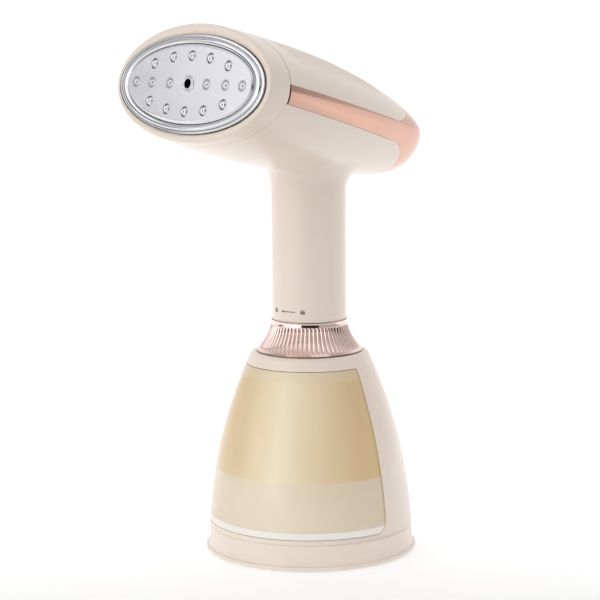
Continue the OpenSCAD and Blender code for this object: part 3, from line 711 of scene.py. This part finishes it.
def make_tank_floor():
    """The dish under the water, with the pale panel at the window's foot."""
    floor_rim = panel("rim", WINDOW_LOW + WINDOW_GAP, FLOOR_TOP, WINDOW_GAP + 0.75)
    low, high = 14.1, 16.1
    ring = tank_line(CUP_OUTSIDE, np.linspace(low, FLOOR_TOP, 5)) + tank_line(CUP_INSIDE, (FLOOR_TOP, high))
    dish = mesh_object("dish", [lathe(ring + [(AXIS_R, high), (AXIS_R, low)])], True, True)
    add(join("tank_floor_dish", [floor_rim, dish]), "tank", "pale_plastic", "tank_floor")


def make_cup():
    """The amber cup with its neck, and the panel that is its front in the window."""
    low, high, chamfer = FLOOR_TOP + 0.02, WINDOW_HIGH - WINDOW_GAP, 0.4
    window = panel("window", low, high, WINDOW_GAP)
    neck = [(NECK_R, SHOULDER_H - 3.2), (NECK_R, NECK_TOP - chamfer), (NECK_R - chamfer, NECK_TOP),
            (NECK_BORE + chamfer, NECK_TOP), (NECK_BORE, NECK_TOP - chamfer), (NECK_BORE, SHOULDER_H - 5.2)]
    shell = (tank_line(CUP_OUTSIDE, np.linspace(low, high, 30)) + neck
             + tank_line(CUP_INSIDE, np.linspace(high - 2.6, low, 30)))
    cup = mesh_object("cup", [lathe(shell)], True, True)
    add(join("water_tank_cup", [window, cup]), "tank", "tank_amber", "water_tank")


# ---- lock ring ----
def make_lock_ring():
    """A collar with grooves between its flutes, which run out in a round end above and below."""
    turns = FLUTES * 16
    angle = full_turn(turns)[:, None]
    low, high, run_out, wall = RING_LOW + 1.5, RING_TOP - 2.5, 1.2, 1.2
    z = np.concatenate([np.linspace(RING_LOW + 0.5, low - 0.1, 4), np.linspace(low, low + run_out, 6)[:-1],
                        np.linspace(low + run_out, high - run_out, 12),
                        np.linspace(high - run_out, high, 6)[1:], np.linspace(high + 0.1, RING_TOP - 0.4, 4)])
    frac = (angle * FLUTES / TAU) % 1.0
    groove = 1 - np.power(np.abs(np.sin(math.pi * frac)), 0.6)
    end = np.clip(np.minimum(z - low, high - z) / run_out, 0, 1)
    depth = FLUTE_DEPTH * groove * np.sqrt(1 - (1 - end) ** 2)
    fluted = about_z(angle, np.maximum(ring_radius(z) - depth, HANDLE_R + 0.25), z)
    base = ring_radius(RING_LOW)
    top = ring_radius(RING_TOP)
    before = [(base - wall, RING_LOW), (base - 0.4, RING_LOW), (base - 0.1, RING_LOW + 0.12)]
    after = [(top + 0.1, RING_TOP - 0.12), (top - 0.02, RING_TOP), (top - 0.3, RING_TOP)]
    inner = [(max(ring_radius(z) - wall, HANDLE_R + 0.02), z)
             for z in np.linspace(RING_TOP - 0.3, RING_LOW + 0.6, 12)]
    grid = np.concatenate([lathe(before, turns), fluted, lathe(after + inner, turns)], 1)
    ring = mesh_object("lock_ring_fluted", [grid], True, True)
    add(ring, "lock_ring", "rose_mirror", "lock_ring")


# ---- head ----
def rib_groove(s, angle):
    """Depth of the grooves between the cover's ribs, which fade out down its sides."""
    wave = 0.5 - 0.5 * np.cos(TAU * (s - RIB_START) / RIB_PITCH)
    wave = np.where((s > RIB_START) & (s < RIB_END), wave, 0.0)
    return RIB_DEPTH * wave * np.clip((np.sin(angle) - 0.45) / 0.3, 0, 1)


def ease_in(count):
    """Steps from 0 to 1 that grow shorter towards 1."""
    return np.sin(np.linspace(0, math.pi / 2, count))


def upper_angle(s, gap):
    """Angle on the skin of the trim's upper edge, at a distance inside it."""
    return np.arcsin(np.clip(strip_top(s, gap) / height_up(s / HEAD_L), -1, 1))


def lower_angle(s, gap):
    """Angle on the skin of the trim's lower edge, at a distance inside it."""
    return np.arcsin(np.clip(strip_low(s, gap) / depth_down(s / HEAD_L), -1, 1))


def make_top_cover():
    """The ribbed cover, between the upper edges of the two trim strips."""
    gap = SEAM / 2
    s_end = float(solve(lambda s: height_up(s / HEAD_L) - strip_top(s, -gap), 120, 140))
    s = np.concatenate([np.linspace(COVER_FRONT + gap, RIB_START, 9)[:-1],
                        np.linspace(RIB_START, RIB_END, RIB_COUNT * 10 + 1),
                        RIB_END + (s_end - RIB_END) * ease_in(30)[1:]])
    low = upper_angle(s, -gap)
    t = np.linspace(0, 1, 121)
    angle = low[:, None] + (math.pi - 2 * low[:, None]) * t
    grid = skin(s[:, None], angle, rib_groove(s[:, None], angle))
    cover = mesh_object("top_cover_ribbed", [from_head(grid)])
    face_out(cover, 235)
    thicken(cover, HEAD_WALL, 0.15)
    add(cover, "handset", "cream", "top_cover")


def make_trim():
    """Both side strips and the tail that joins them."""
    gap = SEAM / 2
    across, over = 16, 72      # steps up a side strip, and over or under the tail
    s = np.linspace(STRIP_FRONT, SIDE_END, 60)
    high, low = upper_angle(s, gap), lower_angle(s, gap)
    right = low[:, None] + (high - low)[:, None] * np.linspace(0, 1, across + 1)
    grids = [skin(s[:, None], right), skin(s[:, None], math.pi - right)]
    top = np.linspace(high[-1], math.pi - high[-1], over + 1)
    bottom = np.linspace(math.pi - low[-1], TAU + low[-1], over + 1)
    around = np.concatenate([right[-1], top[1:], (math.pi - right[-1])[::-1][1:], bottom[1:-1]])
    step = np.arange(len(around))
    edge = np.full(around.shape, SIDE_END)      # front edge of the tail, all round
    up = (step > across) & (step < across + over)
    down = step >= 2 * across + over
    edge[up] = solve(lambda q: height_up(q / HEAD_L) * np.sin(around[up]) - strip_top(q, gap),
                     np.full(up.sum(), SIDE_END - 0.5), np.full(up.sum(), 136.0))
    edge[down] = solve(lambda q: strip_low(q, gap) + depth_down(q / HEAD_L) * -np.sin(around[down]),
                       np.full(down.sum(), SIDE_END - 0.5), np.full(down.sum(), 138.0))
    turn = 0.93      # the tail's end starts to close at this share of the head's length
    rows = edge + (turn * HEAD_L - edge) * np.linspace(0, 1, 22)[:, None]
    close = tail_close(turn) * (1 - np.linspace(0, 1, 30)[1:])
    last = HEAD_L * np.power(1 - np.power(close, END_ROUND), 1 / END_POWER)
    tail = skin(np.vstack([rows, np.repeat(last[:, None], len(around), 1)]), around)
    grids.append(np.concatenate([tail, tail[:, :1]], 1))
    trim = mesh_object("trim_band_metal", [from_head(g) for g in grids])
    face_out(closed(trim), 228)
    thicken(trim, HEAD_WALL, 0.15)
    add(trim, "handset", "rose_gold", "trim_band")


def plane_of(s, angle):
    """Flat chart of the underside: depth, and distance round from the keel, both about in millimetres."""
    return np.stack([s, KEEL_R * (angle + math.pi / 2)], -1)


def make_housing():
    """The lower head shell, the blend under it and the handle's tube, as one moulding."""
    gap = SEAM / 2
    tail_s = float(solve(lambda s: depth_down(s / HEAD_L) + strip_low(s, -gap), 120, 137.95))
    # right half of the outer edge: from the keel up the bezel's seam, back along the strip, and down
    angle = np.radians(np.linspace(-90, 0, 400))
    s = np.full(angle.shape, 10.0)
    for _ in range(8):
        s = bezel_seam(depth_down(s / HEAD_L) * np.sin(angle)) + SEAM
    v = depth_down(s / HEAD_L) * np.sin(angle)
    keep = v < strip_low(s, -gap)
    seam = np.stack([s[keep], angle[keep]], -1)
    s = np.linspace(seam[-1, 0], HOUSING_TAIL[0], 200)
    strip = np.stack([s, lower_angle(s, -gap)], -1)
    s = HOUSING_TAIL[0] + (tail_s - HOUSING_TAIL[0]) * ease_in(200)
    rear = np.stack([s, lower_angle(s, -gap)], -1)
    rear[-1, 1] = -math.pi / 2
    right = [plane_of(*resample(part, count, (1.0, KEEL_R)).T)
             for part, count in ((seam, 34), (strip, 52), (rear, 34))]
    right = np.concatenate([right[0][:-1], right[1][:-1], right[2]])
    outer = np.concatenate([right, right[-2:0:-1] * (1, -1)])

    ring_r = HANDLE_R + NECK_BLEND

    def chart(turn, r):
        x, y = r * np.cos(turn), r * np.sin(turn)
        s, v = underside(x, y)
        w, d = half_width(s / HEAD_L), depth_down(s / HEAD_L)
        return plane_of(s, np.arctan2(v / d, x / w))

    middle = np.array([underside(0.0, 0.0)[0], 0.0])
    turn = np.linspace(-math.pi / 2, 3 * math.pi / 2, 1441)
    spoke = chart(turn, ring_r) - middle
    bearing = np.unwrap(np.arctan2(spoke[:, 1], -spoke[:, 0]))
    want = np.unwrap(np.arctan2(outer[:, 1], middle[0] - outer[:, 0]))
    if bearing[-1] < bearing[0]:
        bearing, turn = bearing[::-1], turn[::-1]
    at = np.interp(want, bearing, turn)
    inner = chart(at, ring_r)
    t = np.linspace(0, 1, 30)[:, None, None]
    field = outer + (inner - outer) * t
    body = from_head(skin(field[..., 0], field[..., 1] / KEEL_R - math.pi / 2))

    def under(r):
        x, y = r * np.cos(at), r * np.sin(at)
        return np.stack([x, y, underside_z(x, y)], -1)

    start, reach = under(ring_r), 0.5
    corner = start + (start - under(ring_r + reach)) / reach * NECK_BLEND
    corner[:, :2] = np.stack([HANDLE_R * np.cos(at), HANDLE_R * np.sin(at)], -1)
    low = under(HANDLE_R)
    low[:, 2] -= NECK_BLEND
    t = np.linspace(0, 1, 16)[1:, None, None]
    blend = (1 - t) ** 2 * start + 2 * (1 - t) * t * corner + t * t * low
    foot = low * (1, 1, 0) + (0, 0, HANDLE_LOW)
    t = np.linspace(0, 1, 42)[1:, None, None]
    tube = low + (foot - low) * t
    whole = np.concatenate([body, blend, tube])
    whole = np.concatenate([whole, whole[:, :1]], 1)
    housing = mesh_object("housing_and_handle", [whole])
    face_out(housing, 225)
    thicken(housing, HEAD_WALL, 0)
    inside, outside = 10, 30      # the cutters reach through the rear wall
    carve(housing, [slot_solid("slot", 8.6, inside, outside), rod("lens_hole", 2.1, LENS_Z, inside, outside),
                    rod("gland_hole", 5.6, GLAND_Z, inside, outside),
                    rod("gland_seat", 6.7, GLAND_Z, 18.5, outside)])
    soften(housing, 0.15, 40)
    add(housing, "handset", "cream", "main_housing", "handle_neck", "handle_shell")


def capsule(half_w):
    """Points round an upright slot, as places on its middle line and directions from it."""
    straight = BUTTON_L / 2 - BUTTON_W / 2
    arc = np.linspace(0, math.pi, 25)
    line = np.linspace(straight, -straight, 13)[1:-1]
    side, end = np.ones(len(line)), np.full(len(arc), straight)
    ux = np.concatenate([np.cos(arc), -side, np.cos(arc + math.pi), side])
    uz = np.concatenate([np.sin(arc), 0 * side, np.sin(arc + math.pi), 0 * side])
    z0 = np.concatenate([end, line, -end, -line])
    return half_w * ux, BUTTON_Z + z0 + half_w * uz


def capsule_row(half_w, depth):
    """Points round the slot; depth is their Y, or works it out from x and z."""
    x, z = capsule(half_w)
    y = depth(x, z) if callable(depth) else depth
    return np.stack([x, 0 * x + y, z], -1)


def slot_solid(name, half_w, y0, y1):
    outline = ((0.0, y0), (half_w, y0), (half_w, y1), (0.0, y1))
    rows = [capsule_row(*at) for at in outline]
    return solid(name, np.array(rows), wrap_cols=True)


def along_y(profile, x, z, turns):
    """Grid of an (r, y) profile turned about the line along Y through (x, z)."""
    r, y = np.asarray(profile, float).T
    a = full_turn(turns)[:, None]
    return np.stack([x + r * np.cos(a), y + 0 * a, z + r * np.sin(a)], -1)


def rod(name, r, z, y0, y1):
    profile = [(0, y0), (r, y0), (r, y1), (0, y1)]
    return solid(name, along_y(profile, 0, z, 96), wrap_rows=True)


def on_handle(r, x):
    """Y of a round surface about the handle's axis."""
    return np.sqrt(r * r - x * x)


def make_button():
    """The button: a hidden skirt and a dished top that follows the handle's curve."""
    def top(down):
        def depth(x, z):
            dish = 0.55 * np.clip(1 - (x / 5.6) ** 2 - ((z - BUTTON_Z) / 15.5) ** 2, 0, 1) ** 1.5
            return on_handle(HANDLE_R + 1.2, x) - down - dish
        return depth

    half_w = BUTTON_W / 2
    skirt = [(0, 12.2), (4, 12.2), (7.7, 12.2), (7.9, 12.4), (7.9, 14.0), (7.7, 14.2), (half_w, 14.2)]
    shape = [(half_w, 3.0), (half_w, 1.6)]
    shape += [(6.2 + 0.8 * math.cos(a), 0.8 * (1 - math.sin(a))) for a in np.linspace(0, math.pi / 2, 8)]
    shape += [(w, 0.0) for w in np.linspace(5.7, 0, 14)]
    rows = [capsule_row(*at) for at in skirt] + [capsule_row(w, top(down)) for w, down in shape]
    button = solid("steam_button_cap", np.array(rows), wrap_cols=True)
    add(button, "button", "cream", "steam_button")


def make_button_frame():
    """The raised ring round the button, as (half width, height over the handle)."""
    section = [(7.25, -2.15), (7.25, 0.3), (7.32, 0.5), (7.5, 0.6), (8.2, 0.6), (8.4, 0.5), (8.5, 0.3),
               (8.5, -2.15)]
    rows = [capsule_row(w, lambda x, z: on_handle(HANDLE_R + up, x)) for w, up in section]
    ring = solid("button_frame_ring", np.array(rows), True, True)
    add(ring, "handset", "rose_gold", "button_frame")


def make_rear_fittings():
    lens_r, rim_y, rise = 2.0, HANDLE_R - 0.25, 0.5
    profile = [(0, 15), (lens_r, 15)]
    profile += [(lens_r * math.cos(a), rim_y + rise * math.sin(a)) for a in np.linspace(0, math.pi / 2, 7)]
    lens = solid("indicator_lens_dome", along_y(profile, 0, LENS_Z, 48), wrap_rows=True)
    add(lens, "handset", "lens", "indicator_lens")
    profile = rounded([(3.5, 12), (5.5, 12), (5.5, 18.65), (6.6, 18.65), (6.6, 20.9), (5.4, 21.6),
                       (4.2, 21.6), (3.5, 20.8)], [0.1, 0.3, 0.1, 0.2, 0.8, 0.4, 0.5, 0.4], 4)
    gland = solid("cord_gland_collar", along_y(profile, 0, GLAND_Z, 96), True, True)
    add(gland, "handset", "black_rubber", "cord_gland")


# ---- face: bezel, rim, plate and its steam points ----
def make_bezel():
    """The cream ring round the plate, from its rear seam over the lip and into the oval hole."""
    hole_w, hole_h, lip, nose, chamfer = 52.6, 25.2, 3.0, 1.9, 0.12
    lip_power = 2 / 2.5      # the lip is a superellipse of power 2.5
    angle = full_turn(240)
    seam = np.full(angle.shape, 12.0)
    for _ in range(8):
        u = seam / HEAD_L
        v = np.where(np.sin(angle) > 0, height_up(u), depth_down(u)) * np.sin(angle)
        seam = bezel_seam(v)

    def inner(s):
        return np.stack([hole_w * np.cos(angle), s + 0 * angle, hole_h * np.sin(angle)], -1)

    rows = [skin(seam, angle, chamfer), skin(seam - chamfer, angle)]
    for t in np.linspace(0.05, 1, 8):
        rows.append(skin(seam - chamfer + (nose - seam + chamfer) * t, angle))
    for a in np.linspace(0, math.pi, 17)[1:-1]:
        reach = math.copysign(abs(math.cos(a)) ** lip_power, math.cos(a))
        front = nose * (1 - math.sin(a) ** lip_power)
        share = (1 + reach) / 2
        rows.append(share * skin(front + 0 * angle, angle) + (1 - share) * inner(front))
    rows += [inner(nose), inner(lip - 0.15), inner(lip) * (1.003, 1, 1.003)]
    rows.append(skin(lip + 0 * angle, angle, HEAD_WALL))
    for t in np.linspace(0.2, 1, 6):
        rows.append(skin(lip + (seam - lip) * t, angle, HEAD_WALL))
    bezel = solid("front_bezel_lip", from_head(np.array(rows)), True, True)
    add(bezel, "handset", "cream", "front_bezel")


def oval_grid(ovals, count=288):
    """Grid through a run of ovals about the face's centre, each (half width, half height, depth)."""
    w, h, s = np.asarray(ovals, float).T
    angle = full_turn(count)[:, None]
    return np.stack([w * np.cos(angle), s + 0 * angle, h * np.sin(angle)], -1)


def make_rim():
    """Plated oval ring: a thin flange, a step up and a bright rounded band beside the plate."""
    w, h = PLATE_EDGE
    section = [(0.3, 0.3, 4.5), (0.3, 0.3, -1.0), (1.0, 0.8, -1.4), (2.4, 1.8, -1.6), (3.8, 2.9, -1.35),
               (4.4, 3.4, -0.8), (4.7, 3.6, -0.1), (5.0, 3.8, -0.1), (5.2, 3.9, -1.0), (6.8, 4.75, -0.95),
               (7.0, 4.9, -0.7), (7.0, 4.9, -0.3), (6.3, 4.5, -0.1), (6.3, 4.5, 4.5)]
    radii = [0.1, 0.4, 0.6, 1.2, 0.5, 0.3, 0.1, 0.1, 0.15, 0.15, 0.15, 0.1, 0.1, 0.1]
    grid = oval_grid(rounded(section, radii, 4) + (w, h, 0))
    rim = solid("plate_rim_bead", from_head(grid), True, True)
    add(rim, "handset", "chrome_rim", "plate_rim")


WELL_TURNS = 40      # sides of each round hole in the plate


def flat_sheet(name, outline, holes, s):
    """Flat sheet at depth s inside an oval outline, with round holes (x, v, r)."""
    loops = [outline]
    for x, v, r in holes:
        loops.append([(x + r * math.cos(a), v + r * math.sin(a)) for a in full_turn(WELL_TURNS)])
    points, edges = [], []
    for loop in loops:
        first = len(points)
        points += [Vector(p) for p in loop]
        edges += [(first + k, first + (k + 1) % len(loop)) for k in range(len(loop))]
    verts, _, faces, *_ = delaunay_2d_cdt(points, edges, [], 1, 1e-6)
    bm = bmesh.new()
    made = [bm.verts.new(from_head(np.array([p.x, s, p.y])) * MM) for p in verts]
    for face in faces:
        mid = sum((verts[k] for k in face), Vector((0, 0))) / 3
        if all((mid.x - x) ** 2 + (mid.y - v) ** 2 > (r * 0.995) ** 2 for x, v, r in holes):
            bm.faces.new([made[k] for k in face])
    return to_object(name, bm)


def weld(piece):
    """Joins sheets that meet, and keeps the creases between them sharp."""
    bm = bmesh.new()
    bm.from_mesh(piece.data)
    bmesh.ops.remove_doubles(bm, verts=bm.verts, dist=4e-6)
    bmesh.ops.recalc_face_normals(bm, faces=bm.faces)
    for f in bm.faces:
        f.smooth = True
    bm.to_mesh(piece.data)
    bm.free()
    piece.data.set_sharp_from_angle(angle=math.radians(14))
    return piece


def make_plate():
    """The steel plate: a flat face, a chamfered edge and a shaped well at each steam point.

    Profiles of the wells are (r, depth behind the face). Those of the middle row are flat rings,
    and the outer ones have a raised tip."""
    face, back = PLATE_FRONT, PLATE_FRONT + 1.6
    rim_r, flat_r, nozzle_r, drill_r, exit_r = 3.05, 2.85, 2.6, 0.42, 1.1
    middle = [(side * k * HOLE_PITCH, 0.0) for k in (1, 2, 2.88) for side in (-1, 1)]
    outer = [(k * HOLE_PITCH, side * ROW_HALF_H * math.sqrt(1 - (k * HOLE_PITCH / ROW_HALF_W) ** 2))
             for k in range(-2, 3) for side in (-1, 1)]
    raised = [(rim_r, 0), (flat_r, 0), (2.75, 0.12), (2.6, 0.6), (2.4, 0.75), (2.2, 0.6), (1.45, -0.35),
              (1.2, -0.48), (0.9, -0.48), (drill_r, -0.3), (drill_r, 1.3), (exit_r, 1.6)]
    ringed = [(rim_r, 0), (flat_r, 0), (2.8, 0.12), (2.65, 0.4), (2.4, 0.5), (1.9, 0.5), (1.7, 0.4),
              (1.55, 0.12), (1.45, 0.05), (0.8, 0.05), (drill_r, 0.3), (drill_r, 1.3), (exit_r, 1.6)]
    bore = [(nozzle_r, 0), (nozzle_r, 1.6)]
    w, h = PLATE_EDGE
    flat_w, flat_h, inner_w, inner_h = PLATE_HALF_W - 0.3, PLATE_HALF_H - 0.3, w - 1.7, h - 2.1
    edge = [(flat_w, flat_h, face), (PLATE_HALF_W, PLATE_HALF_H, face),
            (PLATE_HALF_W + 0.15, PLATE_HALF_H + 0.24, face + 0.05), (w - 0.15, h - 0.24, face + 0.9),
            (w - 0.03, h - 0.05, face + 1.1), (w, h, face + 1.4), (w, h, 4.3), (w - 0.1, h - 0.1, 4.4),
            (inner_w, inner_h, 4.4), (inner_w, inner_h, back)]
    edge_turns = 144

    def sheet(name, half_w, half_h, radius, s):
        outline = [(half_w * math.cos(a), half_h * math.sin(a)) for a in full_turn(edge_turns)]
        holes = [(x, v, radius) for x, v in middle + outer] + [(0, 0, nozzle_r)]
        return flat_sheet(name, outline, holes, s)

    def well(profile, x, v):
        grid = along_y(np.array(profile) + (0, face), x, v, WELL_TURNS)
        return mesh_object("well", [from_head(grid)], wrap_rows=True)

    sheets = [sheet("front", flat_w, flat_h, rim_r, face), sheet("back", inner_w, inner_h, exit_r, back),
              mesh_object("edge", [from_head(oval_grid(edge, edge_turns))], wrap_rows=True)]
    sheets += [well(ringed, *p) for p in middle] + [well(raised, *p) for p in outer] + [well(bore, 0, 0)]
    add(weld(join("steam_plate_face", sheets)), "handset", "satin_steel", "steam_plate")


def make_nozzle():
    """The ring round the middle hole, as (r, depth behind the plate's face)."""
    section = [(2.2, 3.2), (2.2, 0.9), (2.45, -0.3), (2.75, -0.6), (3.2, -0.45), (3.45, 0.1), (3.7, -0.35),
               (4.2, -0.45), (4.6, -0.05), (2.5, -0.05), (2.5, 3.2)]
    radii = [0.05, 0.2, 0.15, 0.2, 0.2, 0.12, 0.15, 0.3, 0.04, 0.04, 0.1]
    grid = along_y(rounded(section, radii, 4) + (0, PLATE_FRONT), 0, 0, 96)
    tip = solid("centre_nozzle_ring", from_head(grid), True, True)
    add(tip, "handset", "chrome_rim", "centre_nozzle")


def dress_frame():
    """Every CAD node that stays in view takes its slot's material."""
    slots = {part["node"]: part["material_slot"] for part in frame["record"]["subparts"]}
    for name, item in frame["nodes"].items():
        item.data.materials.clear()
        item.data.materials.append(looks[slots[name]])


# ---- studio ----
# the camera stands 44 degrees round from the face
VIEW_TURN = Matrix.Rotation(math.radians(44.0), 3, "Z")


def turned(place):
    """A place or direction given with the camera towards -Y, in the object's own frame."""
    return VIEW_TURN @ Vector(place)


def make_camera():
    """The camera stands level with the head and looks slightly down."""
    distance, height, lens = 1.14107, 0.30694, 128.7
    yaw, pitch, roll = (math.radians(d) for d in (-0.247, 8.557, -0.4486))
    side = Vector((math.cos(yaw), -math.sin(yaw), 0))
    ahead = Vector((math.sin(yaw), math.cos(yaw), 0))
    up = Vector(UP)
    look = math.cos(pitch) * ahead - math.sin(pitch) * up
    lift = math.sin(pitch) * ahead + math.cos(pitch) * up
    right = math.cos(roll) * side + math.sin(roll) * lift
    top = math.cos(roll) * lift - math.sin(roll) * side
    axes = Matrix([turned(right), turned(top), turned(-look)]).transposed()
    place = turned((0, -distance, height))
    data = bpy.data.cameras.new("camera")
    data.lens = lens
    data.sensor_width = 36.0
    camera = bpy.data.objects.new("camera", data)
    camera.matrix_world = Matrix.Translation(place) @ axes.to_4x4()
    bpy.context.scene.collection.objects.link(camera)
    bpy.context.scene.camera = camera


def area_light(name, place, aim, size, power, spread=180.0, glossy=True):
    """A soft box, which may be narrowed to a spread in degrees or kept out of reflections."""
    data = bpy.data.lights.new(name, "AREA")
    data.shape = "RECTANGLE"
    data.size, data.size_y = size
    data.energy = power
    data.spread = math.radians(spread)
    ahead = (Vector(aim) - Vector(place)).normalized()
    tall = (Vector(UP) - ahead * ahead.z).normalized()
    axes = Matrix([ahead.cross(tall), tall, -ahead]).transposed()
    lamp = bpy.data.objects.new(name, data)
    lamp.matrix_world = Matrix.Translation(place) @ axes.to_4x4()
    lamp.visible_glossy = glossy
    bpy.context.scene.collection.objects.link(lamp)


FRONT = turned((0, -1, 0))      # from the object towards the camera's azimuth
UP = (0, 0, 1)


def make_world():
    """A white surround, darker behind the object in what light and reflections see, with two dark cards."""
    bpy.context.scene.view_settings.view_transform = "Standard"
    world = bpy.data.worlds.new("studio")
    world.use_nodes = True
    bpy.context.scene.world = world
    sky = Graph(world.node_tree)
    place = sky.node("TexCoord", {}, "Generated")

    def ramp(value, start, end, low, high):
        return sky.remap(value, low, high, start, end, interpolation_type="SMOOTHSTEP")

    def card(azimuth, low, high, half, edge):
        """1 outside a dark card at an azimuth from the camera, between two heights, and 0 on it."""
        azimuth, half, edge = (math.radians(a) for a in (azimuth, half, edge))
        level = sky.dot(place, turned((math.sin(azimuth), -math.cos(azimuth), 0)))
        aside = ramp(level, math.cos(half + edge), math.cos(half), 1, 0)
        rise = sky.dot(place, UP)
        under, over = ramp(rise, low - 0.04, low, 1, 0), ramp(rise, high, high + 0.08, 0, 1)
        return sky.math("MAXIMUM", sky.math("MAXIMUM", under, over), aside)

    cards = sky.math("MULTIPLY", card(2.865, -0.6, 0.3, 23, 7), card(-92, -0.1, 0.16, 10, 8))
    depth = sky.dot(place, FRONT)
    shown = sky.math("MULTIPLY", ramp(depth, -0.75, -0.1, 1.0, 0.5), ramp(cards, 0, 1, 0.03, 1))
    back = sky.nodes["Background"]
    sky.put(back.inputs["Color"], (1.0, 1.0, 1.0, 1.0))
    seen = sky.node("LightPath", {}, "Is Camera Ray")
    sky.put(back.inputs["Strength"], sky.math("MAXIMUM", shown, seen))


def make_floor():
    """A round sheet of white paper, which glows a little more behind the object than in front."""
    radii = np.array([0.02, 0.5, 3.0, 60.0]) / MM
    floor = mesh_object("floor", [lathe([(r, 0.0) for r in radii], 64)], wrap_rows=True)
    paper = Finish("floor_paper", {"Specular IOR Level": 0.2, "Emission Color": (1.0, 1.0, 1.0, 1.0)})
    tone = paper.noise(9.0, 2.0)
    paper.feed("Base Color", paper.mix(tone, (0.72, 0.72, 0.72, 1), (0.74, 0.74, 0.74, 1)))
    paper.feed("Roughness", paper.remap(tone, 0.7, 0.8))
    ahead = paper.math("ADD", *(paper.math("MULTIPLY", paper.axis(k), v) for k, v in zip("XY", FRONT)))
    paper.feed("Emission Strength", paper.remap(ahead, 0.7, 0.08, -0.22, 0.28))
    floor.data.materials.append(paper.material)


def make_lamps():
    """Soft boxes, each at an azimuth in degrees from the camera, a distance and a height in metres."""
    middle, low = (0, 0, 0.16), (0, 0, 0.05)

    def around(azimuth, distance, height):
        a = math.radians(azimuth)
        return turned((distance * math.sin(a), -distance * math.cos(a), height))

    area_light("key_left", around(-62, 1.5, 0.7), middle, (1.7, 1.6), 8.0)
    area_light("front_left", around(-38, 2.0, 0.5), middle, (1.0, 1.2), 3.4)
    area_light("top", around(-10, 0.3, 1.7), middle, (1.8, 1.8), 4.2)
    area_light("edge_right", around(88, 1.3, 0.5), middle, (0.8, 1.4), 2.0, glossy=False)
    area_light("tank_front", around(8, 1.2, 0.5), low, (0.4, 0.4), 0.08, 24.0, False)


make_base()
make_tank_frame()
make_tank_floor()
make_cup()
make_lock_ring()
make_housing()
make_top_cover()
make_trim()
make_bezel()
make_rim()
make_plate()
make_nozzle()
make_button()
make_button_frame()
make_rear_fittings()
dress_frame()
make_camera()
make_world()
make_floor()
make_lamps()
